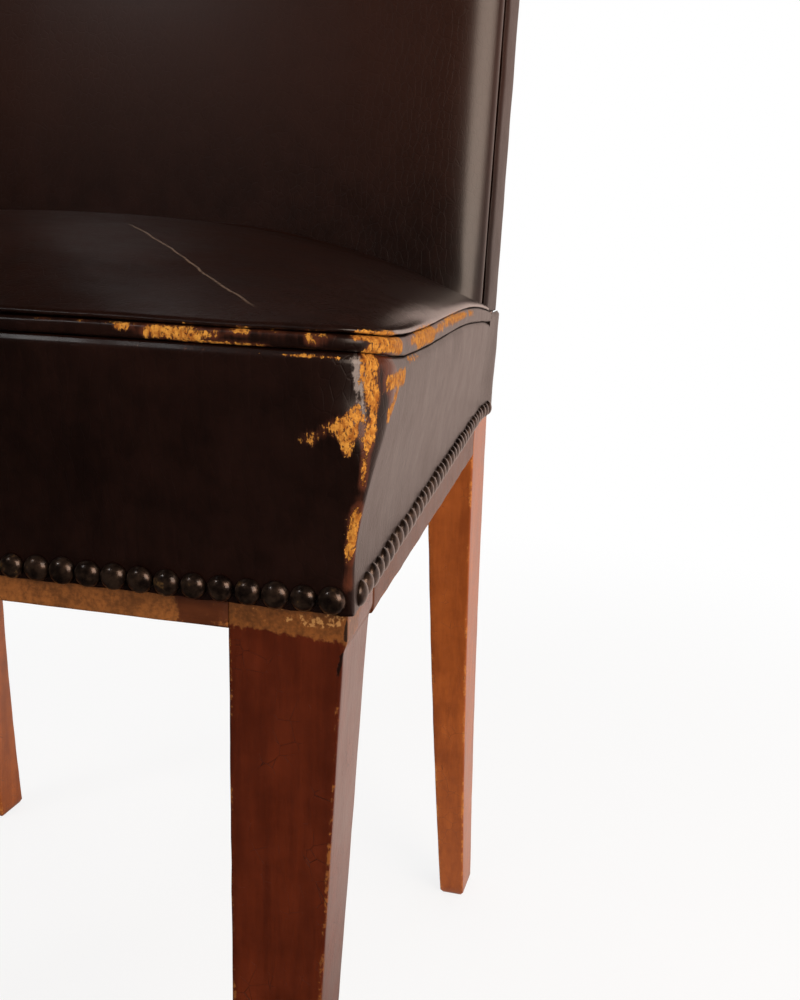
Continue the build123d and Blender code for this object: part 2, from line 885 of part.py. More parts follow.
def back_hessian():
    """Coarse cloth over the back's webbing, in the back's own frame."""
    end = post_outer - webbing_inset / 2
    near = back_hessian_v - cloth_thickness
    return block(-end, end, near, back_hessian_v, stay_rail_foot, post_length - webbing_inset)


def bottoming():
    """Black cloth under the seat frame, with a step up to the front rail, and where its tacks go."""
    level = side_bottom
    thin = cloth_thickness
    slope_start = rail_thickness
    slope_end = front_leg_depth - layer_gap
    edges = Polyline(
        (0, bottoming_inset, rail_bottom),
        (0, slope_start, rail_bottom),
        (0, slope_end, level),
        (0, frame_depth - bottoming_inset, level),
        (0, frame_depth - bottoming_inset, level - thin),
        (0, slope_end, level - thin),
        (0, slope_start, rail_bottom - thin),
        (0, bottoming_inset, rail_bottom - thin),
        close=True,
    )
    reach = half_front + overrun
    sheet = side_prism(edges.edges(), -reach, reach)
    rear = frame_depth - bottoming_inset
    inner = half_front - front_leg_width - layer_gap
    beside = front_leg_depth + layer_gap
    post = post_inner - layer_gap
    ahead = rear_leg_y - layer_gap
    outline = [
        (inner, 0),
        (inner, beside),
        (half_width(beside) - bottoming_inset, beside),
        (half_width(ahead) - bottoming_inset, ahead),
        (post, ahead),
        (post, rear),
    ]
    outline += [(-x, y) for x, y in reversed(outline)]
    cloth = sheet & plan_prism(outline, side_bottom - overrun, rail_bottom + overrun)
    mid = rail_thickness / 2
    tacks = []
    far_x = inner - bottoming_tack_pitch / 2
    for x in spread(-far_x, far_x, round(far_x * 2 / bottoming_tack_pitch) + 1):
        tacks.append((x, mid, rail_bottom - thin))
        tacks.append((x * post / inner, frame_depth - mid, level - thin))
    first = front_leg_depth + bottoming_tack_pitch / 2
    last = rear_leg_y - bottoming_tack_pitch / 2
    for y in spread(first, last, round((last - first) / bottoming_tack_pitch) + 1):
        x = half_width(y) - mid
        tacks += [(x, y, level - thin), (-x, y, level - thin)]
    return cloth, [place(*at, (0, 0, -1)) for at in tacks]


def build():
    """Every piece of the chair by name, in the working frame."""
    nail = dome_nail()
    nail_hole = hole(nail_shank_diameter, nail_length, nail_clearance)
    tack = pin(tack_head_diameter / 2, tack_head_height, tack_shank_diameter / 2, tack_length)
    tack_hole = hole(tack_shank_diameter, tack_length, tack_clearance)

    nails_front = front_nail_places()
    nails_right = side_nail_places()
    nails_rear = rear_nail_places()
    front_holes = [at * nail_hole for at in nails_front]
    right_holes = [at * nail_hole for at in nails_right]
    left_holes = [mirror(one, about=Plane.YZ) for one in right_holes]
    rear_holes = [at * nail_hole for at in nails_rear]

    lengthways, across, seat_tacks = seat_webbing()
    uprights, back_across, back_tacks = back_webbing()
    back_tacks = [back_place * at for at in back_tacks]
    bottom_cloth, bottom_tacks = bottoming()
    seat_tack_holes = [at * tack_hole for at in seat_tacks]
    back_tack_holes = [at * tack_hole for at in back_tacks]
    bottom_tack_holes = [at * tack_hole for at in bottom_tacks]

    screw_places = corner_screw_places()
    screws = [at * screw(0) for at in screw_places]
    screw_holes = [at * screw(screw_clearance) for at in screw_places]
    screws += [mirror(one, about=Plane.YZ) for one in screws]
    screw_holes += [mirror(one, about=Plane.YZ) for one in screw_holes]

    side_front, side_rear = side_tenon(joint_clearance)
    side_mortises = [side_front, side_rear]
    side_mortises += [mirror(one, about=Plane.YZ) for one in side_mortises]
    cross_mortises = [*both(front_tenon(joint_clearance)), *both(rear_tenon(joint_clearance))]
    for foot, height in back_rails:
        cross_mortises += [back_place * one for one in both(back_tenon(foot, height, joint_clearance))]

    def drilled(piece, *tools):
        """The piece less those of the tools that reach it."""
        box = piece.bounding_box()
        near = [t for group_of in tools for t in group_of if box.overlaps(t.bounding_box())]
        return piece - near if near else piece

    in_wood = (front_holes, right_holes, left_holes, rear_holes)
    tacked = (seat_tack_holes, back_tack_holes, bottom_tack_holes)
    joints = (side_mortises, cross_mortises)
    pieces = {}
    for side, leg in zip(("left", "right"), both(front_leg())):
        pieces[f"front_leg_{side}"] = drilled(leg, *in_wood, *tacked, *joints, screw_holes)
    for side, leg in zip(("left", "right"), both(rear_leg())):
        pieces[f"rear_leg_and_post_{side}"] = drilled(leg, *in_wood, *tacked, *joints, screw_holes)
    pieces["front_rail"] = drilled(front_rail(), front_holes, *tacked)
    pieces["rear_rail"] = drilled(rear_rail(), rear_holes, *tacked)
    for side, rail, holes in zip(("left", "right"), both(side_rail()), (left_holes, right_holes)):
        pieces[f"side_rail_{side}"] = drilled(rail, holes, *tacked)
    for name, (foot, height) in zip(("stay_rail", "crest_rail"), back_rails):
        pieces[name] = drilled(back_place * back_rail(foot, height), back_tack_holes)
    for side, block_of in zip(("left", "right"), both(front_corner_block())):
        pieces[f"corner_block_front_{side}"] = drilled(block_of, screw_holes)
    for side, block_of in zip(("left", "right"), both(rear_corner_block())):
        pieces[f"corner_block_rear_{side}"] = drilled(block_of, screw_holes)
    pieces["corner_block_screws"] = group(screws)

    pieces["seat_webbing_front_to_back"] = group(drilled(strip, seat_tack_holes) for strip in lengthways)
    pieces["seat_webbing_side_to_side"] = group(drilled(strip, seat_tack_holes) for strip in across)
    pieces["seat_webbing_tacks"] = group(at * tack for at in seat_tacks)
    pieces["seat_hessian"] = seat_hessian()
    room = back_room() + post_room()
    fibre, hair = seat_pads(room)
    inset = leather_thickness + layer_gap
    pieces["seat_fibre_stuffing"] = fibre
    scrim_under = scrim_depth + cloth_thickness
    pieces["seat_scrim"] = crown_layer(scrim_depth, scrim_under, pad_crown_rise, inset, room)
    pieces["seat_hair_stuffing"] = hair
    calico_under = calico_depth + cloth_thickness
    pieces["seat_calico"] = crown_layer(calico_depth, calico_under, crown_rise, inset, room)
    pieces["seat_top_leather"] = crown_layer(0, leather_thickness, crown_rise, 0, room)
    front, left, right = waddings()
    pieces["front_rail_wadding"] = front
    pieces["side_rail_wadding_left"] = left
    pieces["side_rail_wadding_right"] = right
    band, border = facing_leather()
    pieces["seat_edge_band"] = band - room
    pieces["seat_border_leather"] = drilled(border, front_holes, left_holes, right_holes)
    pieces["nails_front"] = group(at * nail for at in nails_front)
    pieces["nails_right"] = group(at * nail for at in nails_right)
    pieces["nails_left"] = group(mirror(at * nail, about=Plane.YZ) for at in nails_right)
    pieces["nails_rear"] = group(at * nail for at in nails_rear)
    pieces["bottoming_cloth"] = drilled(bottom_cloth, bottom_tack_holes)
    pieces["bottoming_tacks"] = group(at * tack for at in bottom_tacks)

    pieces["back_webbing_upright"] = group(drilled(back_place * s, back_tack_holes) for s in uprights)
    pieces["back_webbing_across"] = group(drilled(back_place * s, back_tack_holes) for s in back_across)
    pieces["back_webbing_tacks"] = group(at * tack for at in back_tacks)
    pieces["back_hessian"] = back_place * back_hessian()
    pieces["back_hair_stuffing"] = leaned(back_body(pad_depth, back_pad_v))
    calico = back_body(calico_depth, back_pad_v) - back_body(calico_depth + cloth_thickness, 0)
    pieces["back_calico"] = leaned(calico)
    pieces["inside_back_leather"] = leaned(back_body(0, back_pad_v) - back_body(leather_thickness, 0))
    pieces["back_border_leather"] = leaned(back_border())
    pieces["outside_back_lining"] = drilled(rear_sheet(lining_in, lining_out), rear_holes)
    pieces["outside_back_leather"] = drilled(rear_sheet(outside_back_in, outside_back_out), rear_holes)
    return pieces


def main():
    """Centres the chair on its outline, stands it on the floor and writes one file for each piece."""
    os.makedirs("parts", exist_ok=True)
    pieces = build()
    boxes = [piece.bounding_box() for piece in pieces.values()]
    front = min(box.min.Y for box in boxes)
    rear = max(box.max.Y for box in boxes)
    centring = Pos(0, -(front + rear) / 2, 0)
    for name, piece in pieces.items():
        export_step(centring * piece, f"parts/{name}.step")
    print("depth", rear - front, "height", max(box.max.Z for box in boxes))
    print("front face of the front rail at y", -(front + rear) / 2)


main()
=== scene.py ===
import bpy
import json
import math
import numpy as np
from mathutils import Euler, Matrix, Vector, noise


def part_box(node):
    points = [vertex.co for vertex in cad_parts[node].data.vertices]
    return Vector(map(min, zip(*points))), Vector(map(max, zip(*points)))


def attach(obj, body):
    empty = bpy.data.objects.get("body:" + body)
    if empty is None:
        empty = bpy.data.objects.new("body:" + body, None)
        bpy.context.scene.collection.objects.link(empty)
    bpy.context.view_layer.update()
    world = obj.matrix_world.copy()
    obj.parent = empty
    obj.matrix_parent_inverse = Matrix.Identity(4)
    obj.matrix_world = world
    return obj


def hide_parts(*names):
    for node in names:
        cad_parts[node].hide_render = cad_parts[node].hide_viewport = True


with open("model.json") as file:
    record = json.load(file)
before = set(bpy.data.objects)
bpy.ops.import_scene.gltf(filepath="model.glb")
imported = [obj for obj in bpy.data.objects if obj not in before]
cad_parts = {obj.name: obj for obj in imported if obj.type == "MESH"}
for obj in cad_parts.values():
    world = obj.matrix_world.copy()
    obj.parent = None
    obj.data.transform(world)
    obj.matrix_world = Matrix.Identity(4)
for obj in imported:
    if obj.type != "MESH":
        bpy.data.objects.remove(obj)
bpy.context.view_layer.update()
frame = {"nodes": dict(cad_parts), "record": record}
mm = 0.001

# Main sizes of the wooden frame, from the fixed frame. Depths are measured back from the front rail's face.
rail_low, rail_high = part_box("front_rail")
front_y, rail_bottom, rail_top = rail_low.y, rail_low.z, rail_high.z
post_inner, post_outer = (corner.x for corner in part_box("rear_leg_and_post_right"))
half_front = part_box("front_leg_right")[1].x
frame_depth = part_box("rear_rail")[1].y - front_y
side_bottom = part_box("side_rail_right")[0].z
rail_thickness = 26 * mm
front_leg_width = 44.7 * mm
front_leg_depth = 44.7 * mm
front_foot_width = 26.2 * mm
front_foot_depth = 28 * mm
front_foot_inner_step = 3.5 * mm
front_shoulder = 1.3 * mm
shoulder_top = 351 * mm
shoulder_height = 6 * mm
rear_leg_depth = 44 * mm
rear_foot_width = 17.4 * mm
rear_foot_depth = 30 * mm
rear_foot_outer_step = 1 * mm
rear_foot_kick = 48 * mm
foot_arris = 2.5 * mm
foot_stations = [0, 0.9 * mm, foot_arris]
kick_mid_share = 0.354
rear_leg_d = frame_depth - rear_leg_depth
splay = math.atan2(half_front - post_outer, rear_leg_d)
rake = math.radians(9)
rake_start = 430 * mm
post_depth = 28 * mm
post_length = 446 * mm

# Leather over the seat
leather_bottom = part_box("seat_border_leather")[0].z + 1 * mm
leather_thickness = 1.8 * mm
leather_lap = 2.2 * mm
seam_gap = 0.4 * mm
front_bulge = front_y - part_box("seat_border_leather")[0].y
side_bulge = 11.5 * mm
side_bulge_rear = 6 * mm
leg_bulge = 2.9 * mm
leg_bulge_run = 60 * mm
corner_radius_low = 2 * mm
corner_radius_top = 21 * mm
bulge_start_share = 0.16
full_bulge_height = 440 * mm
edge_front = 460.8 * mm
edge_slope = 0.028
edge_bend = 200 * mm
edge_bend_radius = 1667 * mm
rim_stations = [step * mm for step in (-9, -5, 12, 40, 100, 160, 300, 378)]
rim_sags = [step * mm for step in (0.5, 0.7, 2.2, 3.5, 3.6, 2.4, 1.2, 0)]
band_heights = [step * mm for step in (5.8, 5.8, 6.5, 7.5, 8, 8.6, 8.2, 7)]
band_rear = 378 * mm
facing_rear = frame_depth + 2.8 * mm
back_seam = 436.8 * mm
crown_rise = 33.5 * mm
crown_top_share = 0.55
crown_rear_drop_share = 0.18
side_roll = 16 * mm
side_roll_drop = 2 * mm
hessian_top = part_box("seat_hessian")[1].z

# Padded back, in its own frame: x across, v backwards from the posts' rear faces, w up the posts
back_seam_depth = 35 * mm
back_side_rise = 5 * mm
back_corner_run = 36 * mm
back_corner_rise = 22 * mm
back_crown = 26 * mm
back_top_roll = 24 * mm
back_pad_rear = 31.8 * mm
back_border_out = 2.1 * mm
back_corner_radius = 14 * mm

# Dome nails
nail_pitch = 10.36 * mm
nail_height = 365.8 * mm
nail_diameter = 10.1 * mm
nail_rise = 3.6 * mm
nail_shank = 1.6 * mm
nail_length = 10.6 * mm
nail_start = 9.8 * mm
nail_out = leather_lap + 0.3 * mm
side_nail_out = leather_lap - 0.7 * mm
nail_climb = 8 * mm

# Studio
white = (1, 1, 1)
warm = (1, 0.75, 0.65)
dark_side, white_side = -0.25, 0.35
dark_share = 0.012


def blend(a, b, t):
    """From a, where t is 0, to b, where it is 1."""
    return a + (b - a) * t


def eased(t):
    """A smooth rise from 0 to 1 while t goes from 0 to 1."""
    t = min(max(t, 0), 1)
    return t * t * (3 - 2 * t)


def spread(first, last, count):
    return [blend(first, last, i / (count - 1)) for i in range(count)]


def at(x, d, z):
    """The point x from the middle, d behind the front rail's face and z above the floor."""
    return Vector((x, front_y + d, z))


def back_at(x, v, w):
    """A point of the leaning back, from its own frame."""
    d = frame_depth + v * math.cos(rake) + w * math.sin(rake)
    return at(x, d, rake_start - v * math.sin(rake) + w * math.cos(rake))


def uneven(point, size, amount):
    """A smooth wander that is the same each time, for a point, a wave size and an amount."""
    return noise.noise(point / size) * amount


class Field:
    """A value that varies over a surface. Sums on it add Math nodes."""

    def __init__(self, tree, socket):
        self.tree = tree
        self.socket = socket

    def __add__(self, other):
        return self.tree.maths("ADD", self, other)

    def __sub__(self, other):
        return self.tree.maths("SUBTRACT", self, other)

    def __rsub__(self, other):
        return self.tree.maths("SUBTRACT", other, self)

    def __mul__(self, other):
        return self.tree.maths("MULTIPLY", self, other)

    __radd__ = __add__
    __rmul__ = __mul__

    def size(self):
        return self.tree.maths("ABSOLUTE", self)

    def most(self, other):
        return self.tree.maths("MAXIMUM", self, other)

    def step(self, low, high):
        """Rises smoothly from 0 at low to 1 at high."""
        settings = {"interpolation_type": "SMOOTHSTEP"}
        return self.tree.node("ShaderNodeMapRange", settings, Value=self, From_Min=low, From_Max=high)


class Nodes:
    """A node tree while it is being made."""

    def __init__(self, tree):
        self.tree = tree
        tree.nodes.clear()

    def node(self, kind, settings=None, output=0, **inputs):
        """Adds a node, with its settings and then its sockets, and gives one of its outputs."""
        node = self.tree.nodes.new(kind)
        for key, value in (settings or {}).items():
            setattr(node, key, value)
        for key, value in inputs.items():
            socket = next(s for s in node.inputs if key in (s.identifier, s.name.replace(" ", "_")))
            if isinstance(value, Field):
                self.tree.links.new(value.socket, socket)
            else:
                socket.default_value = value
        return Field(self, node.outputs[output]) if node.outputs else node

    def maths(self, operation, *values):
        inputs = dict(zip(("Value", "Value_001"), values))
        return self.node("ShaderNodeMath", {"operation": operation}, **inputs)

    def axes(self, place):
        """A place along x, y and z, in metres."""
        return [self.node("ShaderNodeSeparateXYZ", output=axis, Vector=place) for axis in "XYZ"]

    def vector(self, x, y, z):
        return self.node("ShaderNodeCombineXYZ", X=x, Y=y, Z=z)


class Paint(Nodes):
    """The nodes of one procedural material, or of the world around the chair."""

    def __init__(self, owner, place="Object"):
        owner.use_nodes = True
        super().__init__(owner.node_tree)
        self.owner = owner
        self.place = self.node("ShaderNodeTexCoord", output=place)

    def attribute(self, name):
        return self.node("ShaderNodeAttribute", {"attribute_name": name}, "Fac")

    def rays(self, kind):
        """1 where light is followed for the camera or for a reflection, and 0 elsewhere."""
        return self.node("ShaderNodeLightPath", output=f"Is {kind} Ray")

    def scaled(self, *scales):
        """The place with each axis stretched by its own number, for grain and streaks."""
        return self.node("ShaderNodeMapping", Vector=self.place, Scale=scales)

    def cloud(self, scale, detail=3, rough=0.55, place=None, distort=0):
        return self.node("ShaderNodeTexNoise", Vector=place or self.place, Scale=scale, Detail=detail,
                         Roughness=rough, Distortion=distort)

    def cells(self, scale, feature, place=None):
        place = place or self.place
        return self.node("ShaderNodeTexVoronoi", {"feature": feature}, Vector=place, Scale=scale)

    def colour(self, share, first, second):
        """First colour where share is 0, second where it is 1."""
        first, second = (c if isinstance(c, Field) else (*c, 1) for c in (first, second))
        settings = {"data_type": "RGBA"}
        return self.node("ShaderNodeMix", settings, 2, Factor_Float=share, A_Color=first, B_Color=second)

    def relief(self, height, distance):
        """A surface whose height in metres is height times distance."""
        return self.node("ShaderNodeBump", Height=height, Distance=distance)

    def finish(self, colour, roughness, normal, **inputs):
        """Ends in one Principled shader, with constants set straight on its sockets."""
        inputs.update(Base_Color=colour, Roughness=roughness, Normal=normal)
        shader = self.node("ShaderNodeBsdfPrincipled", **inputs)
        self.node("ShaderNodeOutputMaterial", Surface=shader)
        return self.owner


def paint(name):
    """The nodes of a new material."""
    return Paint(bpy.data.materials.new(name))


def leather():
    """Very dark brown hide, polished by use: tan fibre where it is worn through, grey scuffs, and a painted
    pale highlight.
    """
    p = paint("worn_leather")
    x, y, z = p.axes(p.place)
    broad = p.cloud(11, 3)
    mottle = p.cloud(70, 5, 0.6)
    fine = p.cloud(420, 4, 0.65)
    streak = p.cloud(1, 4, 0.6, p.scaled(520, 520, 60))
    pores = p.cells(1150, "F1")
    cracks = p.cells(240, "DISTANCE_TO_EDGE", p.scaled(1, 1, 0.55))
    crack = 1 - cracks.step(0, 0.07)
    wear = p.attribute("wear")
    scuff_and_highlight = p.attribute("scuff_and_highlight")
    stain = p.attribute("stain")
    polish = p.attribute("polish")

    dark, brown, red = (0.0052, 0.0017, 0.001), (0.013, 0.0037, 0.002), (0.09, 0.022, 0.008)
    base = p.colour((mottle * 0.6 + broad * 0.5 + streak * 0.25 - 0.18).step(0.3, 0.75), dark, brown)
    # Painted reflection: the same hide is painted lighter with height, most up the back, for the warm
    # reflections seen on the back
    base = p.colour(z.step(440 * mm, 600 * mm) * 0.55, base, (0.032, 0.0092, 0.004))
    rubbed = (stain + wear * 0.9 + (mottle - 0.5) * 0.9 + (streak - 0.5) * 0.7).step(0.25, 0.85) * 0.8
    base = p.colour(rubbed, base, red)

    # The finish torn off down to the tan fibre, in ragged upright flakes
    ragged = p.cloud(520, 6, 0.8, p.scaled(1, 1, 0.6))
    fibre = p.colour((ragged * 0.6 + fine * 0.4).step(0.4, 0.6), (0.25, 0.075, 0.01), (0.56, 0.25, 0.04))
    torn = wear + (streak - 0.5) * 0.8 + (mottle - 0.5) * 1.1 + (ragged - 0.5) * 1.9
    worn = torn.step(0.6, 0.67) * wear.step(0.05, 0.2)
    worn = worn * (p.cloud(1100, 3, 0.6, p.scaled(1, 1, 0.6)).step(0.38, 0.43) * 0.85 + 0.15)
    colour = p.colour(worn, base, fibre)
    # Pale grey: real scuffs at the front corner, and a painted highlight along the rim under the front's lower
    # seam
    chalk_and_highlight = (scuff_and_highlight + (streak - 0.5) * 2.6 + (ragged - 0.5) * 2.2).step(0.7, 1.15)
    chalk_and_highlight = chalk_and_highlight * scuff_and_highlight.step(0.05, 0.2) * (1 - worn)
    colour = p.colour(chalk_and_highlight * 0.8, colour, (0.26, 0.22, 0.2))

    # A long scratch across the right of the seat's top, slanted by about 41 degrees
    c, s = 0.757, 0.653
    across = x * c + y * s - 2 * mm + (mottle - 0.5) * (4 * mm)
    along = x * s - y * c
    scratch = along.step(100 * mm, 125 * mm) * (1 - along.step(275 * mm, 294 * mm))
    scratch = scratch * z.step(462 * mm, 464 * mm) * (1 - across.size().step(0.2 * mm, 0.9 * mm))
    scratch = scratch * (fine.step(0.35, 0.5) * 0.75 + 0.25)
    colour = p.colour(scratch * 0.8, colour, (0.17, 0.115, 0.08))

    height = pores * 0.06 + fine * 0.1 + mottle * 0.4 - crack * 0.2 - worn * 0.7 - scratch * 0.4
    normal = p.relief(height, 0.4 * mm)
    rough = 0.3 + mottle * 0.16 + broad * 0.1 + worn * 0.4 + chalk_and_highlight * 0.3
    coat = (1 - worn) * (polish * 0.4 + 0.33)
    return p.finish(colour, rough, normal, Specular_IOR_Level=0.12, Coat_Weight=coat, Coat_Roughness=0.24)


def timber(name, dark, light, bare, along, rough, bare_share=0.0, gloss=0.45):
    """Old varnished wood. along is the grain's axis, and bare wood shows where varnish is rubbed away."""
    p = paint(name)

    def along_grain(across, run):
        return p.scaled(*(run if axis == along else across for axis in range(3)))

    grain = p.cloud(1, 4, 0.6, along_grain(600, 60))
    figure = p.cloud(1, 3, 0.5, along_grain(120, 9), 0.6)
    mottle = p.cloud(46, 5, 0.62)
    fine = p.cloud(600, 3, 0.6)
    arris = p.attribute("arris")
    rubbed = p.attribute("rubbed")
    patchy, speckled = mottle - 0.5, fine - 0.5
    colour = p.colour((figure * 0.6 + grain * 0.2 + mottle * 0.65 - 0.25).step(0.25, 0.8), dark, light)
    colour = p.colour((mottle * 0.9 + grain * 0.3).step(0.28, 0.42), [c * 0.45 for c in dark], colour)

    # Bare wood along the arrises and where it is rubbed, palest in the middle of a scuff
    edge = (arris * 0.9 + speckled * 0.9 + patchy * 1.5).step(0.9, 1.1) * arris
    bare_wood = (rubbed + bare_share + patchy * 0.9 + (grain - 0.5) * 0.2 + speckled * 0.4).step(0.45, 0.6)
    bare_wood = (bare_wood * (rubbed + bare_share).step(0.02, 0.15)).most(edge)
    bare_colour = p.colour((mottle * 0.7 + fine * 0.4).step(0.4, 0.68), [c * 0.4 for c in bare], bare)
    pale = (rubbed - 1.35 + speckled * 2.4 + patchy * 0.6).step(0, 0.25)
    bare_colour = p.colour(pale, bare_colour, [c**0.62 for c in bare])
    colour = p.colour(bare_wood, colour, bare_colour)

    nicks = (1 - p.cells(130, "DISTANCE_TO_EDGE").step(0, 0.012)) * mottle.step(0.52, 0.6)
    # Dark marks under the leg's strokes: dirt, a joint line and a hole, and a painted shadow at the edge of the
    # patch on the leg's side
    marks = (p.attribute("dirt_and_shadow") + speckled * 0.5 + patchy * 0.4).step(0.45, 0.6)
    nicks = (nicks * 0.8).most(marks * 0.9)
    colour = p.colour(nicks, colour, (0.006, 0.003, 0.002))
    normal = p.relief(grain * 0.4 + mottle * 0.8 - bare_wood * 0.25 - nicks * 0.6, 0.35 * mm)
    rough = rough + bare_wood * 0.25 + patchy * 0.2
    return p.finish(colour, rough, normal, Specular_IOR_Level=0.15, Coat_Weight=gloss, Coat_Roughness=0.2)


def plain_wood():
    """Bare beech inside the frame."""
    p = paint("hidden_wood")
    grain = p.cloud(1, 4, 0.6, p.scaled(40, 700, 700), 0.4)
    fleck = p.cloud(1, 2, 0.5, p.scaled(200, 1500, 1500)).step(0.62, 0.72)
    colour = p.colour(grain.step(0.3, 0.7), (0.42, 0.25, 0.12), (0.6, 0.41, 0.23))
    colour = p.colour(fleck * 0.5, colour, (0.3, 0.15, 0.07))
    return p.finish(colour, 0.62 + grain * 0.15, p.relief(grain, 0.2 * mm))


def woven(name, pitch, dark, light, threads):
    """Plain weave of a given thread pitch, in the plane of x and y, or of x and z on an upright cloth."""
    p = paint(name)
    x, y, z = p.axes(p.place)
    turn = math.tau / pitch
    slub = p.cloud(1, 3, 0.6, p.scaled(40, 600, 600)) * 0.5 + p.cloud(1, 3, 0.6, p.scaled(600, 40, 40)) * 0.5
    over = p.maths("SINE", x * turn) * p.maths("SINE", (y + z * 0.98) * turn)
    thread = over.size() * threads + (1 - threads) * (slub + 0.2)
    colour = p.colour(thread.step(0.1, 0.75), dark, light)
    colour = p.colour(p.cloud(14, 4).step(0.5, 0.8) * 0.4, colour, [c * 0.55 for c in light])
    normal = p.relief(thread + slub * 0.4, pitch * 0.35)
    return p.finish(colour, 0.86 - slub * 0.08, normal, Sheen_Weight=0.1)


def dome_metal():
    """Brass nails gone almost black, rubbed bright at a few high spots."""
    p = paint("dome_nails")
    spots = p.cloud(260, 4, 0.6)
    fine = p.cloud(1500, 3, 0.6)
    colour = p.colour(spots.step(0.35, 0.7), (0.014, 0.008, 0.006), (0.07, 0.042, 0.028))
    colour = p.colour((spots + p.cloud(38) - 0.5).step(0.72, 0.86), colour, (0.24, 0.13, 0.045))
    normal = p.relief(spots * 0.8 + fine * 0.25, 0.18 * mm)
    rough = 0.2 + spots * 0.14 + fine * 0.06
    return p.finish(colour, rough, normal, Metallic=0.75, Coat_Weight=0.35, Coat_Roughness=0.1)


def plain_metal(name, dark, light):
    """Dull steel, a little spotted."""
    p = paint(name)
    spots = p.cloud(500, 4, 0.6)
    colour = p.colour(spots.step(0.35, 0.65), dark, light)
    return p.finish(colour, 0.35 + spots * 0.25, p.relief(spots, 0.1 * mm), Metallic=0.9)


def mesh_object(name, points, faces):
    mesh = bpy.data.meshes.new(name)
    mesh.from_pydata(points, [], faces)
    mesh.shade_smooth()
    thing = bpy.data.objects.new(name, mesh)
    bpy.context.scene.collection.objects.link(thing)
    return thing


def grid_faces(rows, columns, start=0, flip=False):
    """Quads of a grid whose points run along each row in turn."""
    faces = []
    for r in range(rows - 1):
        for c in range(columns - 1):
            a = start + r * columns + c
            face = (a, a + 1, a + columns + 1, a + columns)
            faces.append(face[::-1] if flip else face)
    return faces


def ring_faces(first, second):
    """Quads between two closed loops of points."""
    count = len(first)
    return [(first[i], first[(i + 1) % count], second[(i + 1) % count], second[i]) for i in range(count)]


def skin(name, rings):
    """A closed solid through equal rings, each running anticlockwise seen from the last ring's end."""
    count = len(rings[0])
    points = [p for ring in rings for p in ring]
    faces = []
    for r in range(len(rings) - 1):
        low = range(r * count, (r + 1) * count)
        high = range((r + 1) * count, (r + 2) * count)
        faces += ring_faces(low, high)
    faces.append(tuple(reversed(range(count))))
    faces.append(tuple(range((len(rings) - 1) * count, len(rings) * count)))
    return mesh_object(name, points, faces)


def baked(thing):
    """The object with its modifiers made part of its mesh."""
    graph = bpy.context.evaluated_depsgraph_get()
    mesh = bpy.data.meshes.new_from_object(thing.evaluated_get(graph))
    thing.modifiers.clear()
    thing.data = mesh
    return thing


def sheet_mesh(name, points, columns, thickness, flip=False):
    """A sheet through rows of points, given its thickness inwards, with its cut edges."""
    thing = mesh_object(name, points, grid_faces(len(points) // columns, columns, flip=flip))
    solid = thing.modifiers.new("Thickness", "SOLIDIFY")
    solid.thickness = thickness
    solid.offset = -1
    return baked(thing)


def store(thing, name, values):
    attribute = thing.data.attributes.new(name, "FLOAT", "POINT")
    attribute.data.foreach_set("value", np.asarray(values, np.float32))


def points_of(thing):
    flat = np.empty(len(thing.data.vertices) * 3, np.float32)
    thing.data.vertices.foreach_get("co", flat)
    return flat.reshape(-1, 3).astype(float)


def stroked(thing, name, strokes):
    """Stores how strongly each point lies under strokes, which are rows of a table in mm."""
    points = points_of(thing) / mm
    value = np.zeros(len(points))
    for stroke in strokes:
        a, b, (wide, strength) = np.split(np.array(stroke), (3, 6))
        run = b - a
        t = np.clip((points - a) @ run / max(run @ run, 1), 0, 1)
        far = np.linalg.norm(points - a - t[:, None] * run, axis=1)
        near = np.clip(1 - far / wide, 0, 1)
        value = np.maximum(value, near * near * (3 - 2 * near) * strength)
    store(thing, name, value)


def dress(thing, material):
    thing.data.materials.clear()
    thing.data.materials.append(material)


def add(thing, material, slot, *nodes):
    """Makes a finished mesh a piece of the chair that stands for the named nodes."""
    dress(thing, material)
    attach(thing, "root")
    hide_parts(*nodes)


def add_leather(thing, material, *nodes, polish=None):
    """Adds a leather piece with its worn, scuffed and stained places and its painted highlight. polish is how
    much glossier it is.
    """
    wear = both_side_wear + right_wear + mirrored(both_side_wear, 0.85) + mirrored(left_wear, 1)
    stroked(thing, "wear", wear)
    stroked(thing, "scuff_and_highlight", right_scuffs_and_highlights)
    stroked(thing, "stain", corner_stains + mirrored(corner_stains, 0.9))
    if polish is not None:
        store(thing, "polish", np.full(len(thing.data.vertices), polish))
    add(thing, material, "worn_leather", *nodes)


def edge_height(d):
    """Height of the seat's rim: it falls gently, sags behind each corner, and curves down under the back."""
    sag = float(np.interp(d, rim_stations, rim_sags))
    if d <= edge_bend:
        return edge_front - edge_slope * d - sag
    long = math.hypot(1, edge_slope)
    centre_d = edge_bend - edge_bend_radius * edge_slope / long
    centre_z = edge_front - edge_slope * edge_bend - edge_bend_radius / long
    return centre_z + math.sqrt(edge_bend_radius**2 - (d - centre_d) ** 2) - sag


def band_height(d):
    return float(np.interp(d, rim_stations, band_heights))


def bulge_share(z):
    h = (z - leather_bottom) / (full_bulge_height - leather_bottom)
    return eased((h - bulge_start_share) / (1 - bulge_start_share))


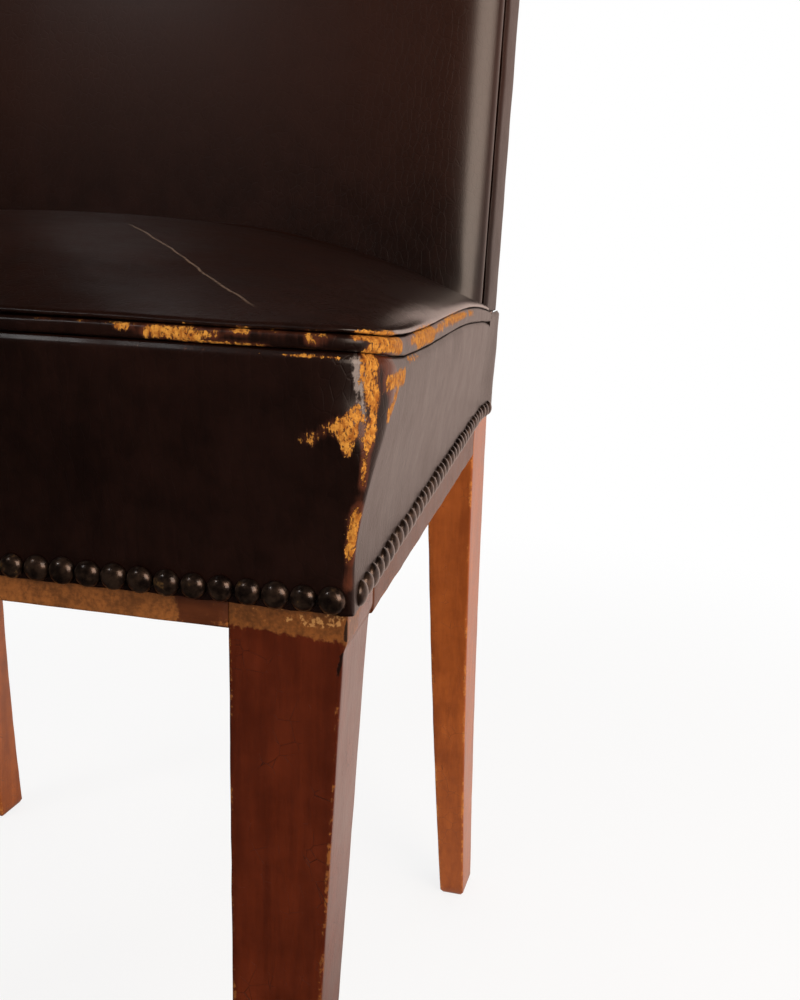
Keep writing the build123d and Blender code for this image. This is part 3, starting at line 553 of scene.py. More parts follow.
def facing_place(kind, t, share, inset):
    """Plan place of a point round the right half of the covered seat, t along one of its four stretches."""
    def out(full):
        return leather_lap + (full - leather_lap) * share - inset

    front = -out(front_bulge)
    front_x = half_front + out(side_bulge)
    kink_x = post_outer + out(side_bulge_rear)
    rear_x = post_outer + out(leg_bulge)
    radius = corner_radius_low + (corner_radius_top - corner_radius_low) * share**4 - inset / 2
    lean = math.atan2(front_x - kink_x, rear_leg_d)
    corner_x = front_x - front * math.tan(lean)
    turn = math.pi / 2 + lean
    run = radius * math.tan(turn / 2)
    centre_x = corner_x - run
    if kind == "front":
        return centre_x * t, front
    if kind == "corner":
        angle = turn * t - math.pi / 2
        return centre_x + radius * math.cos(angle), front + radius + radius * math.sin(angle)
    end_x = corner_x - run * math.sin(lean)
    end_d = front + run * math.cos(lean)
    if kind == "side":
        return blend(end_x, kink_x, t), blend(end_d, rear_leg_d, t)
    d = blend(rear_leg_d, facing_rear, t)
    back = (d - rear_leg_d) / (frame_depth + leg_bulge_run - rear_leg_d)
    return blend(kink_x, rear_x, back), d


def facing_columns(rear_stops):
    """Every column round the seat, from the left rear, round the front, to the right rear."""
    front_stops, corner_stops, side_stops = 104, 18, 122
    right = [("front", t) for t in spread(0, 1, front_stops)]
    right += [("corner", t) for t in spread(0, 1, corner_stops)[1:]]
    right += [("side", t) for t in spread(0, 1, side_stops)[1:]]
    right += [("leg", (d - rear_leg_d) / (facing_rear - rear_leg_d)) for d in rear_stops]
    left = [(-1, kind, t) for kind, t in reversed(right[1:])]
    return left + [(1, kind, t) for kind, t in right]


def climb(d):
    """How much higher the nails and the leather's raw edge are at a depth than along the front."""
    return nail_climb * min(max(d, 0) / frame_depth, 1)


def nail_places():
    """Each nail row by name, as places on the leather and the directions in which the nails look."""
    count = round(half_front * 2 / nail_pitch)
    start = -(count - 1) * nail_pitch / 2
    rows = {"nails_front": [(at(start + i * nail_pitch, -nail_out, nail_height), Vector((0, -1, 0)))
                            for i in range(count)]}
    right = []
    for i in range(int((frame_depth - nail_start) / nail_pitch)):
        d = (nail_start + i * nail_pitch) * math.cos(splay)
        if d < rear_leg_d:
            x = half_front - d * math.tan(splay) + side_nail_out / math.cos(splay)
            outward = Vector((math.cos(splay), math.sin(splay), 0))
        else:
            x, outward = post_outer + side_nail_out, Vector((1, 0, 0))
        right.append((at(x, d, nail_height + climb(d)), outward))
    rows["nails_right"] = right
    flip = Vector((-1, 1, 1))
    rows["nails_left"] = [(place * flip, outward * flip) for place, outward in right]
    count = round(post_outer * 2 / nail_pitch)
    start = -(count - 1) * nail_pitch / 2
    rear = facing_rear + 0.3 * mm
    rows["nails_rear"] = [(at(start + i * nail_pitch, rear, nail_height + nail_climb), Vector((0, 1, 0)))
                          for i in range(count)]
    return rows


def pressed_at(point, places):
    """1 at a nail's centre, falling to 0 a little outside its rim."""
    if abs(point.z - nail_height - climb(point.y - front_y)) > nail_pitch:
        return 0
    near = min((point - place).length for place in places)
    return eased(1 - near / (nail_pitch * 0.62))


# Strokes of wear, scuffs, stains, dirt, a painted highlight and a painted shadow on the right of the chair.
# Each has x, y and z of its two ends and its half width, in mm, and its strength. The left has its own or these
# mirrored.
hide_y = (front_y - front_bulge) / mm
wood_y = front_y / mm
both_side_wear = [
    # Corner, right under the band
    (239.2, -239.6, 451.5, 238.8, -240.1, 444, 7, 1.3),
    (238.8, -240.1, 444, 240.3, -238.4, 436, 6, 1.25),
    (240.3, -238.4, 436, 240.5, -240.6, 428, 3.6, 1.0),
    (240.5, -240.6, 428, 239.8, -243.1, 423, 4.4, 1.15),
    (243.2, -230, 441, 241.2, -203, 440.5, 6, 1.2),
    (242.5, -217, 437, 243.1, -231.5, 430, 5, 1.1),
    (240, -190, 444.7, 238.5, -165, 444.5, 4, 0.75),
    # Down the corner's edge
    (238.9, -242.6, 428, 239.1, -244.5, 412, 3.2, 0.66),
    (239.1, -244.5, 414, 239, -244.5, 408, 3, 0.9),
    (236.1, -243.3, 398.5, 234, -241.6, 383, 4.2, 1.1),
    # Band along the side
    (238.9, -174.3, 451, 235.1, -131, 449, 7.5, 1.3),
    (240.2, -189.4, 451.5, 238.9, -176, 451, 4, 0.8),
    (231.2, -86.2, 450, 226.7, -34, 449, 6, 0.95),
    (226.7, -34, 449, 220.8, 33.5, 446, 5, 0.9),
    (235.1, -131, 449, 231.2, -86.2, 450, 5, 0.75),
    (214, 105, 445.5, 211.5, 130, 443, 5, 0.7),
]
right_wear = [
    # Band at the corner and along the front
    (235, -243.8, 457.8, 241.1, -236.6, 457, 3.6, 1.2),
    (242.7, -232.2, 456.5, 242.3, -214.2, 452, 6.5, 1.3),
    (240.8, -237.1, 453.5, 242.7, -229, 453, 3, 1.0),
    (152, hide_y, 457.2, 156, hide_y, 457.2, 3, 0.9),
    (163.5, hide_y, 456, 171, hide_y, 455.5, 5, 1.15),
    (173, hide_y, 455.5, 180, hide_y, 455, 5.5, 1.15),
    (179, hide_y, 456, 187.5, hide_y, 456, 4, 0.72),
    (178, hide_y, 453.2, 206, hide_y, 453.2, 2, 0.9),
    (193.5, hide_y, 458, 198.5, hide_y, 458, 2.8, 0.9),
    (220.5, hide_y, 457.5, 221.5, hide_y, 455.5, 2.6, 0.95),
    (120, hide_y, 458.5, 236, hide_y, 458.5, 2.4, 0.5),
    # The torn three-cornered place and the flecks beside it
    (229, -246.5, 428.5, 237, -244, 434, 3, 1.2),
    (237, -244, 434, 233.5, -246, 419.5, 3.4, 1.2),
    (230, -246.5, 428, 233.5, -246, 420.5, 3.2, 1.2),
    (232.5, -245.5, 428.5, 235, -245, 426, 4.4, 1.2),
    (220.7, -247, 423.5, 229, -246.8, 427.5, 6, 0.7),
    (236.5, -243.8, 436, 238, -243.2, 430, 3, 0.8),
    # Fine lines along the lower seam
    (208, hide_y, 450.7, 238, hide_y + 3, 450.5, 1.5, 0.8),
    (150, hide_y, 450.8, 208, hide_y, 450.7, 1.4, 0.5),
]
left_wear = [
    (90, hide_y, 456.5, 200, hide_y, 456.5, 3.4, 0.62),
    (200, hide_y, 455.5, 240, hide_y, 455.5, 3.6, 0.8),
]
right_scuffs_and_highlights = [
    (232.5, hide_y + 2, 450.7, 238, hide_y + 5, 450.5, 2.6, 1.0),
    (235.5, -243.4, 449.5, 236.4, -242.6, 441, 6, 1.3),
    (236.4, -242.6, 441, 237.6, -242.5, 431, 4.5, 1.1),
    # A painted highlight along the border's rolled rim, under the front's lower seam
    (150, hide_y, 451.5, 190, hide_y, 451.5, 2, 0.5),
]
corner_stains = [
    (243.1, -230.5, 450.5, 242.8, -225, 436, 10, 1.0),
    (239.8, -243.1, 428, 234, -241.5, 372, 4, 0.7),
    (244, -230, 453.5, 227.2, -16, 449.7, 6, 0.5),
    (160, hide_y, 456, 240, hide_y, 456, 4, 0.35),
]
leg_strokes = [
    (186, wood_y, 360.5, 233, wood_y, 362.5, 17, 1.15),
    (198.5, wood_y, 357.7, 206.5, wood_y, 356.5, 2, 1.75),
    (225.5, wood_y, 356.8, 231.5, wood_y, 355.8, 1.8, 1.75),
    (233.2, wood_y + 3, 354.5, 232.5, wood_y + 12.5, 354.5, 12, 1.15),
    (232, wood_y, 340, 229, wood_y, 200, 2.6, 0.7),
    (229, wood_y, 200, 222, wood_y, 50, 2.4, 0.6),
]
leg_dirt_and_shadow = [
    (209.5, wood_y, 357.5, 209.5, wood_y, 354.5, 1.4, 1.3),
    (232.6, wood_y, 360.5, 232.6, wood_y, 351, 1.3, 0.9),
    (231.6, wood_y, 346, 229.6, wood_y, 338, 1.8, 0.8),
    # A painted shadow: the dark back edge of the bare golden patch on the leg's side
    (231.8, wood_y + 19, 361, 231.6, wood_y + 18, 347, 2, 0.9),
    (231, wood_y, 330, 229, wood_y, 220, 1.6, 0.5),
]
rail_strokes = [
    (-190, wood_y, 356, 163, wood_y, 356, 12, 0.8),
    (178, wood_y, 352, 189, wood_y, 352, 4, 0.4),
]


def mirrored(strokes, fade):
    """The strokes on the other side of the chair, weaker or stronger by fade."""
    return [(-x, y, z, -to_x, to_y, to_z, wide, strength * fade)
            for x, y, z, to_x, to_y, to_z, wide, strength in strokes]


def seat_border(material):
    """The strip of leather that faces the rails, drawn down and nailed, with its raw lower edge."""
    raw_share, nailed_share, lip_start, roll_start = 0.03, 0.16, 0.94, 0.955
    roll_depth = 1.5 * mm
    dent = 0.75 * mm
    rear_stops = [rear_leg_d + 4 * mm, band_rear, band_rear + 0.6 * mm]
    rear_stops += spread(band_rear + 5 * mm, facing_rear, 8)
    columns = facing_columns(rear_stops)
    places = [nail[0] for row in nail_places().values() for nail in row]
    shares = spread(0, nailed_share, 13) + spread(nailed_share, lip_start, 27)[1:] + spread(lip_start, 1, 7)[1:]
    points = []
    for share in shares:
        roll = roll_depth * eased((share - roll_start) / (1 - roll_start)) ** 2
        for side, kind, t in columns:
            d = facing_place(kind, t, 1, 0)[1]
            top = edge_height(d) - leather_thickness - band_height(d) - seam_gap
            if d > band_rear + 0.3 * mm:
                top = back_seam - seam_gap / 2
            z = blend(leather_bottom + climb(d), top, share)
            x, d = facing_place(kind, t, bulge_share(z), roll)
            first = at(side * x, d, z)
            lift = uneven(first, 34 * mm, 0.55 * mm) + uneven(first, 11 * mm, 0.16 * mm)
            lift -= dent * pressed_at(first, places)
            if share < raw_share:
                z += uneven(first, 6 * mm, 0.5 * mm) - 0.15 * mm
            x, d = facing_place(kind, t, bulge_share(z), roll - lift)
            points.append(at(side * x, d, z))
    thing = sheet_mesh("seat_border", points, len(columns), 1.5 * mm)
    add_leather(thing, material, "seat_border_leather", "front_rail_wadding", "side_rail_wadding_left",
                "side_rail_wadding_right")


def seat_band(material):
    """The narrow band between the border and the top, tucked into a seam along both edges."""
    tuck_depth = 1.5 * mm
    swell = 0.35 * mm
    columns = facing_columns([rear_leg_d + 4 * mm, band_rear])
    points = []
    for share in (0, 0.06, 0.14, 0.26, 0.42, 0.58, 0.74, 0.86, 0.94, 1):
        from_middle = abs(2 * share - 1)
        for side, kind, t in columns:
            x, d = facing_place(kind, t, 1, 0)
            top = edge_height(d) - leather_thickness - seam_gap / 2
            z = top - band_height(d) * (1 - share)
            first = at(side * x, d, z)
            lift = swell * (1 - from_middle**2) + uneven(first, 9 * mm, 0.3 * mm)
            x, d = facing_place(kind, t, 1, from_middle**5 * tuck_depth - lift)
            points.append(at(side * x, d, z + uneven(first, 30 * mm, 0.25 * mm)))
    thing = sheet_mesh("seat_band", points, len(columns), 1.2 * mm)
    add_leather(thing, material, "seat_edge_band")


def back_front(x, w):
    """How far the padded back's front lies behind the posts' rear faces: a number below zero."""
    near = min(abs(x) / post_outer, 1)
    shoulder = 1 - back_corner_run / post_outer
    if near < shoulder:
        rise = blend(back_crown, back_corner_rise, (near / shoulder) ** 2)
    else:
        t = (near - shoulder) / (1 - shoulder)
        rise = back_side_rise + (back_corner_rise - back_side_rise) * math.sqrt(1 - t * t)
    left = min(max((post_length - w) / back_top_roll, 0), 1)
    return -back_seam_depth - rise * math.sqrt(1 - (1 - left) ** 2)


def back_face_depth(x, z):
    """Where the padded back's front is at a height, behind the front rail's face."""
    v = back_front(x, 0)
    w = (z - rake_start + v * math.sin(rake)) / math.cos(rake)
    return frame_depth + v * math.cos(rake) + w * math.sin(rake)


def crown_height(x, d):
    """Height of the seat's top surface."""
    front_power, rear_power, side_power, roll_power = 2.7, 2.2, 2.15, 2.2
    depth = min(max((d + front_bulge) / (frame_depth + front_bulge), 0), 1)
    if depth < crown_top_share:
        share = 1 - (1 - depth / crown_top_share) ** front_power
    else:
        share = 1 - crown_rear_drop_share * ((depth - crown_top_share) / (1 - crown_top_share)) ** rear_power
    half = blend(half_front + side_bulge, post_outer + leg_bulge, depth)
    edge = edge_height(d)
    roll = side_roll_drop * max(1 - (half - abs(x)) / side_roll, 0) ** roll_power
    middle = edge_front + crown_rise * share
    return edge + (middle - edge) * (1 - min(abs(x) / half, 1) ** side_power) - roll


class Pad:
    """A closed pad: a top grid, loops that turn its edge under, and a bottom grid."""

    def __init__(self, across, along, top, loops, bottom):
        """Each of top, the loops and bottom gives the point at grid place (i, j)."""
        grid = [(i, j) for j in range(along) for i in range(across)]
        rim = [(i, 0) for i in range(across)] + [(across - 1, j) for j in range(1, along)]
        rim += [(i, along - 1) for i in range(across - 2, -1, -1)]
        rim += [(0, j) for j in range(along - 2, 0, -1)]
        self.points = [top(i, j) for i, j in grid]
        self.faces = grid_faces(along, across)
        last = [j * across + i for i, j in rim]
        for loop in loops:
            first = len(self.points)
            self.points += [loop(i, j) for i, j in rim]
            ring = list(range(first, first + len(rim)))
            self.faces += ring_faces(ring, last)
            last = ring
        first = len(self.points)
        self.points += [bottom(i, j) for i, j in grid]
        self.held = list(range(across * along, len(self.points)))
        self.faces += grid_faces(along, across, first, flip=True)
        self.faces += ring_faces([first + j * across + i for i, j in rim], last)


def puff(thing, held, most, target):
    """Fills a pad with air as cloth held at its seams, and lets no point move further than most.

    The moves are then scaled, up or down, so that the fullest point moves by target and not by what the
    cloth gave.
    """
    frames, pressure = 20, 4
    group = thing.vertex_groups.new(name="held")
    group.add(held, 1, "REPLACE")
    start = points_of(thing)
    cloth = thing.modifiers.new("Cloth", "CLOTH")
    stuff = cloth.settings
    stuff.vertex_group_mass = group.name
    stuff.mass = 0.4
    stuff.tension_stiffness = stuff.compression_stiffness = 25
    stuff.shear_stiffness = 12
    stuff.use_pressure = True
    stuff.uniform_pressure_force = pressure
    stuff.effector_weights.gravity = 0
    scene = bpy.context.scene
    for number in range(frames):
        scene.frame_set(number + 1)
    filled = thing.evaluated_get(bpy.context.evaluated_depsgraph_get()).to_mesh()
    flat = np.empty(len(filled.vertices) * 3, np.float32)
    filled.vertices.foreach_get("co", flat)
    thing.modifiers.remove(cloth)
    thing.vertex_groups.remove(group)
    scene.frame_set(1)
    move = flat.reshape(-1, 3) - start
    far = np.linalg.norm(move, axis=1)
    print("puffed", thing.name, "largest move", round(float(far.max()) / mm, 2), "mm")
    move *= (np.minimum(far, most) / np.maximum(far, 1e-9))[:, None]
    largest = np.linalg.norm(move, axis=1).max()
    move *= target / max(largest, mm / 100)
    thing.data.vertices.foreach_set("co", (start + move).astype(np.float32).ravel())


def smoothed(thing):
    finer = thing.modifiers.new("Finer", "SUBSURF")
    finer.levels = finer.render_levels = 1
    return baked(thing)


def seat_cushion(material):
    """The padded top of the seat: crowned, rolled into the band's seam, and tucked down behind."""
    across, corner_rows, along = 91, 7, 68
    unfilled = 0.1

    def plan(i, j, rim_inset, rear_inset):
        u = 2 * i / (across - 1) - 1
        front = -front_bulge + rim_inset
        radius = corner_radius_top * 1.1 - rim_inset / 2

        def half(d):
            return blend(half_front + side_bulge, post_outer + side_bulge_rear, d / rear_leg_d) - rim_inset

        if j < corner_rows:
            d = front + radius * (1 - math.cos(math.pi / 2 * j / (corner_rows - 1)))
            wide = half(d) - radius + math.sqrt(max(radius**2 - (radius - (d - front)) ** 2, 0))
            return u * wide, d
        x = u * half(rear_leg_d - 20 * mm)
        rear = back_face_depth(x, edge_height(rear_leg_d) + 14 * mm) - rear_inset
        d = blend(front + radius, rear, (j - corner_rows + 1) / (along - corner_rows))
        return u * half(d), d

    def top(i, j):
        x, d = plan(i, j, 3.4 * mm, 7 * mm)
        return at(x, d, blend(crown_height(x, d), edge_height(d), unfilled))

    def lip(rim_inset, rim_drop, rear_inset, rear_drop):
        def place(i, j):
            x, d = plan(i, j, rim_inset, rear_inset)
            if j == along - 1 and 0 < i < across - 1:
                return at(x, d, crown_height(x, d) - rear_drop)
            return at(x, d, edge_height(d) - rim_drop)
        return place

    def base(inset, height):
        def place(i, j):
            x, d = plan(i, j, inset, 3 * mm)
            return at(x, d, height)
        return place

    # Down into the band's seam at the front and sides, and down against the back, then under
    loops = [
        lip(1.5 * mm, -0.55 * mm, 3.6 * mm, 1.5 * mm),
        lip(0.35 * mm, 0.35 * mm, 1.6 * mm, 4 * mm),
        lip(0.2 * mm, 1.2 * mm, 1.1 * mm, 8 * mm),
        lip(1.3 * mm, 1.8 * mm, 1 * mm, 13 * mm),
        lip(3.6 * mm, 2 * mm, 1.4 * mm, 19 * mm),
        lip(4.6 * mm, 6 * mm, 2 * mm, 24 * mm),
        base(5.6 * mm, hessian_top + 4 * mm),
        base(7 * mm, hessian_top + 1.2 * mm),
    ]
    pad = Pad(across, along, top, loops, base(9 * mm, hessian_top + 0.8 * mm))
    thing = mesh_object("seat_cushion", pad.points, pad.faces)
    puff(thing, pad.held, most=9 * mm, target=3.4 * mm)
    smoothed(thing)
    for vertex in thing.data.vertices:
        if vertex.co.z > edge_front - 12 * mm:
            vertex.co.z += uneven(vertex.co, 60 * mm, 0.7 * mm) + uneven(vertex.co, 17 * mm, 0.2 * mm)
    polish = np.clip((np.abs(points_of(thing)[:, 0]) - 140 * mm) / (60 * mm), 0, 1) * 1.5
    add_leather(thing, material, "seat_top_leather", "seat_calico", "seat_hair_stuffing", "seat_scrim",
                "seat_fibre_stuffing", polish=polish)


def inside_back(material):
    """The padded front of the back: rounded at its sides, rolled over at the top."""
    across, corner_rows, along = 81, 7, 78
    foot = 3 * mm
    unfilled = 0.07

    def plan(i, j, inset):
        u = 2 * i / (across - 1) - 1
        top = post_length - inset
        half = post_outer - inset
        radius = back_corner_radius - inset / 2
        k = along - 1 - j
        if k < corner_rows:
            w = top - radius * (1 - math.cos(math.pi / 2 * k / (corner_rows - 1)))
            wide = half - radius + math.sqrt(max(radius**2 - (radius - (top - w)) ** 2, 0))
            return u * wide, w
        return u * half, blend(foot + inset, top - radius, j / (along - corner_rows))

    def front(i, j):
        x, w = plan(i, j, 2 * mm)
        return back_at(x, blend(back_front(x, w), -back_seam_depth, unfilled), w)

    def lip(inset, back_share):
        def place(i, j):
            x, w = plan(i, j, inset)
            return back_at(x, blend(back_front(x, w), -back_seam_depth, back_share), w)
        return place

    def base(inset, v):
        def place(i, j):
            x, w = plan(i, j, inset)
            return back_at(x, v, w)
        return place

    # Round the rim to the border's seam, then in behind it
    loops = [
        lip(0.7 * mm, 0.02),
        lip(0.05 * mm, 0.16),
        lip(0.2 * mm, 0.55),
        lip(1.4 * mm, 0.9),
        base(4 * mm, -back_seam_depth + 0.6 * mm),
        base(7 * mm, -back_pad_rear - 0.4 * mm),
    ]
    pad = Pad(across, along, front, loops, base(9 * mm, -back_pad_rear))
    thing = mesh_object("inside_back", pad.points, pad.faces)
    puff(thing, pad.held, most=7 * mm, target=2.2 * mm)
    smoothed(thing)
    add_leather(thing, material, "inside_back_leather", "back_calico", "back_hair_stuffing", polish=1)


def back_edge_path():
    """Places round the back's outline in x and w with outward directions, from the left foot to the right."""
    half = post_outer + back_border_out
    top = post_length + back_border_out
    side = half - back_corner_radius
    high = top - back_corner_radius
    side_stops, corner_stops, top_stops = 76, 13, 66
    path = [((-half, w), (-1, 0)) for w in spread(0, high, side_stops)]
    for angle in spread(180, 90, corner_stops)[1:]:
        c, s = math.cos(math.radians(angle)), math.sin(math.radians(angle))
        path.append(((-side + back_corner_radius * c, high + back_corner_radius * s), (c, s)))
    right = [((-x, w), (-c, s)) for (x, w), (c, s) in reversed(path)]
    return path + [((x, top), (0, 1)) for x in spread(-side, side, top_stops)[1:-1]] + right


def back_border(material):
    """The strip of leather over the back's two sides and top."""
    tuck_depth = 1.7 * mm
    swell = 0.3 * mm
    path = back_edge_path()
    points = []
    for share in (0, 0.02, 0.05, 0.1, 0.2, 0.32, 0.45, 0.58, 0.7, 0.82, 0.91, 0.96, 1):
        v = blend(-back_seam_depth, facing_rear - frame_depth, share)
        from_middle = abs(2 * share - 1)
        tuck = tuck_depth * eased(from_middle * 6 - 5)
        level = (back_seam + 0.2 * mm - rake_start + v * math.sin(rake)) / math.cos(rake)
        for (x, w), (c, s) in path:
            first = back_at(x, v, w)
            lift = uneven(first, 26 * mm, 0.5 * mm) + swell * (1 - from_middle**2) - tuck
            points.append(back_at(x + c * lift, v, max(w, level) + s * lift))
    thing = sheet_mesh("back_border", points, len(path), 1.3 * mm)
    add_leather(thing, material, "back_border_leather", polish=-0.4)


def outside_back(material):
    """The plain sheet behind the back, turned in at its sides and top and nailed along the rear rail."""
    across = spread(-1, 1, 72)
    near = facing_rear - frame_depth
    half_full = post_outer + 0.1 * mm
    radius = back_corner_radius - 2 * mm
    hollow = 1.6 * mm
    turned_in = 1.2 * mm
    dent = 0.8 * mm
    top = post_length - 0.6 * mm
    places = [nail[0] for nail in nail_places()["nails_rear"]]
    points = []

    def edge_tuck(u):
        return turned_in * eased(abs(u) * 12 - 11)

    low_rows = spread(leather_bottom + nail_climb, rake_start, 18)
    for z in low_rows:
        for u in across:
            first = at(u * half_full, frame_depth + near, z)
            lift = uneven(first, 30 * mm, 0.3 * mm) - dent * pressed_at(first, places)
            drop = uneven(first, 6 * mm, 0.4 * mm) if z == low_rows[0] else 0
            points.append(at(u * half_full, frame_depth + near + lift - edge_tuck(u), z + drop))
    for w in spread(0, top, 74)[1:]:
        fall = max(radius - (top - w), 0)
        half = half_full - radius + math.sqrt(max(radius**2 - fall**2, 0))
        top_tuck = turned_in * eased(1 - (top - w) / (4 * mm))
        dish = hollow * math.sin(math.pi * w / post_length)
        for u in across:
            ripple = uneven(back_at(u * half, near, w), 40 * mm, 0.6 * mm)
            lift = (ripple - dish) * (1 - u * u) - edge_tuck(u) - top_tuck
            points.append(back_at(u * half, near + lift, w))
    thing = sheet_mesh("outside_back", points, len(across), 1.4 * mm, flip=True)
    add_leather(thing, material, "outside_back_leather", "outside_back_lining")


def bar_section(corners, radius):
    """A closed ring round four corners, rounded, with the share of arris at each point."""
    shoulder = 2.6 * mm
    ring, arris = [], []
    for i, corner in enumerate(corners):
        before = (corners[i - 1] - corner).normalized()
        after = (corners[(i + 1) % len(corners)] - corner).normalized()
        a, b = corner + before * radius, corner + after * radius
        rounded = [a * (1 - t) ** 2 + corner * 2 * t * (1 - t) + b * t * t for t in spread(0, 1, 4)]
        ring += [corner + before * (radius + shoulder), *rounded, corner + after * (radius + shoulder)]
        arris += [0, *(1 for place in rounded), 0]
    return ring, arris


def bar(name, stations, corners_at, radius):
    """A wooden bar through rounded sections, its arrises worn a little unevenly."""
    rings, arris = [], []
    for station in stations:
        corners = corners_at(station)
        worn = radius * (1 + 0.55 * noise.noise(corners[0] / (14 * mm)))
        ring, marks = bar_section(corners, worn)
        rings.append([p + Vector((uneven(p, 20 * mm, 0.12 * mm), uneven(p * 1.3, 20 * mm, 0.12 * mm), 0))
                      for p in ring])
        arris += marks
    thing = skin(name, rings)
    store(thing, "arris", arris)
    return thing


def leg_corners(side, z, inner, outer, outer_rear, front, rear, foot_round):
    """A leg's four corners at a height, anticlockwise from above, drawn in at the very foot."""
    tight = foot_round * eased(1 - z / foot_arris)
    ring = [at(inner + tight, front + tight, z), at(outer - tight, front + tight, z),
            at(outer_rear - tight, rear - tight, z), at(inner + tight, rear - tight, z)]
    return [Vector((side * p.x, p.y, p.z)) for p in (ring if side > 0 else reversed(ring))]


def front_leg(side, material):
    """A square block at the corner, and under a small shoulder the tapered leg."""
    inner = half_front - front_leg_width
    foot_inner = inner + front_foot_inner_step
    shoulder_low = shoulder_top - shoulder_height

    def corners_at(z):
        t = min(z / rail_bottom, 1)
        left = blend(foot_inner, inner, t)
        depth = blend(front_foot_depth, front_leg_depth, t)
        right = blend(foot_inner + front_foot_width, half_front - front_shoulder, t)
        right = blend(right, half_front, eased((z - shoulder_low) / shoulder_height))
        return leg_corners(side, z, left, right, right - depth * math.tan(splay), 0, depth, 1.6 * mm)

    stations = foot_stations + spread(7 * mm, shoulder_low, 62) + spread(shoulder_low, shoulder_top, 7)[1:]
    stations += spread(shoulder_top, rail_top, 14)[1:]
    name = "front_leg_" + ("right" if side > 0 else "left")
    thing = bar(name + "_wood", stations, corners_at, 1.1 * mm)
    stroked(thing, "rubbed", leg_strokes if side > 0 else mirrored(leg_strokes, 0.9))
    stroked(thing, "dirt_and_shadow", leg_dirt_and_shadow if side > 0 else mirrored(leg_dirt_and_shadow, 0.6))
    add(thing, material, "front_leg_wood", name)


def rear_leg(side, material):
    """The rear leg, kicked back below, and the post that leans back above it."""
    foot_front = rear_leg_d + rear_foot_kick
    mid_front = rear_leg_d + rear_foot_kick * kick_mid_share
    mid_depth = (rear_leg_depth + rear_foot_depth) / 2
    radius = back_corner_radius - 4 * mm
    top = rake_start + post_length * math.cos(rake)

    def through(t, low, middle, high):
        return low * (1 - t) * (1 - 2 * t) + middle * 4 * t * (1 - t) + high * t * (2 * t - 1)

    def corners_at(z):
        inner, outer = post_inner, post_outer
        front, rear = rear_leg_d, frame_depth
        if z < side_bottom:
            t = z / side_bottom
            front = through(t, foot_front, mid_front, rear_leg_d)
            rear = through(t, foot_front + rear_foot_depth, mid_front + mid_depth, frame_depth)
            outer = post_outer - rear_foot_outer_step * (1 - t)
            inner = blend(post_outer - rear_foot_outer_step - rear_foot_width, post_inner, t)
        elif z > rake_start - 8 * mm:
            rear = frame_depth + max(z - rake_start, 0) * math.tan(rake)
            front = blend(rear_leg_d, rear - post_depth / math.cos(rake), eased((z - rail_top) / (10 * mm)))
        fall = max(radius - (top - z), 0)
        outer -= radius - math.sqrt(max(radius**2 - fall**2, 0))
        return leg_corners(side, z, inner, outer, outer, front, rear, 1.5 * mm)

    stations = foot_stations + spread(7 * mm, rail_top, 74)
    stations += spread(rail_top, rake_start + 2 * mm, 6)[1:] + spread(rake_start + 8 * mm, top - radius, 30)
    stations += spread(top - radius, top - 1.5 * mm, 6)[1:]
    name = "rear_leg_and_post_" + ("right" if side > 0 else "left")
    add(bar(name + "_wood", stations, corners_at, 1.3 * mm), material, "rear_leg_wood", name)


def rail(name, start, end, back, low, material, strokes):
    """A rail between two plan points, its thickness laid off towards back."""
    a, b, inward = Vector(start), Vector(end), Vector(back)

    def corners_at(t):
        place = a.lerp(b, t)
        far = place + inward * rail_thickness
        wander = noise.noise(Vector((t * 9, a.x * 50, low * 80))) * 0.35 * mm
        return [at(place.x, place.y, rail_top), at(place.x, place.y, low + wander),
                at(far.x, far.y, low + wander), at(far.x, far.y, rail_top)]

    thing = bar(name + "_wood", spread(0, 1, 90), corners_at, 1.2 * mm)
    stroked(thing, "rubbed", strokes)
    add(thing, material, "rail_wood", name)


def rails(material):
    """The four rails under the seat. The front one shows its worn lower edge."""
    inner = half_front - front_leg_width
    first = (half_front - front_leg_depth * math.tan(splay), front_leg_depth)
    last = (half_front - rear_leg_d * math.tan(splay), rear_leg_d)
    c, s = math.cos(splay), math.sin(splay)
    for name, start, end, back, low, strokes in (
        ("front_rail", (-inner, 0), (inner, 0), (0, 1), rail_bottom, rail_strokes),
        ("rear_rail", (post_inner, frame_depth), (-post_inner, frame_depth), (0, -1), side_bottom, []),
        ("side_rail_right", first, last, (-c, -s), side_bottom, []),
        ("side_rail_left", (-last[0], last[1]), (-first[0], first[1]), (c, -s), side_bottom, []),
    ):
        rail(name, start, end, back, low, material, strokes)


def bottoming(material):
    """Thin black cloth under the frame, sagging a little between its tacks."""
    low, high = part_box("bottoming_cloth")
    across, along = spread(-1, 1, 60), 56
    inset = 1 * mm
    sag, ripple = 1.6 * mm, 1.2 * mm
    slope_end = front_leg_depth - inset
    points = []
    for j, d in enumerate(spread(low.y - front_y + inset, high.y - front_y - inset, along)):
        if d < front_leg_depth + 2 * mm:
            half = half_front - front_leg_width - inset
        elif d > rear_leg_d - 2 * mm:
            half = post_inner - inset
        else:
            half = half_front - d * math.tan(splay) - 10 * mm
        level = blend(rail_bottom, side_bottom, eased((d - rail_thickness) / (slope_end - rail_thickness)))
        hang = sag * math.sin(math.pi * j / (along - 1)) ** 0.6
        for u in across:
            point = at(u * half, d, level - 0.35 * mm)
            fall = (hang + abs(uneven(point, 30 * mm, ripple))) * (1 - u**4)
            points.append(point - Vector((0, 0, fall)))
    thing = sheet_mesh("bottoming", points, len(across), 0.5 * mm, flip=True)
    add(thing, material, "black_cloth", "bottoming_cloth")


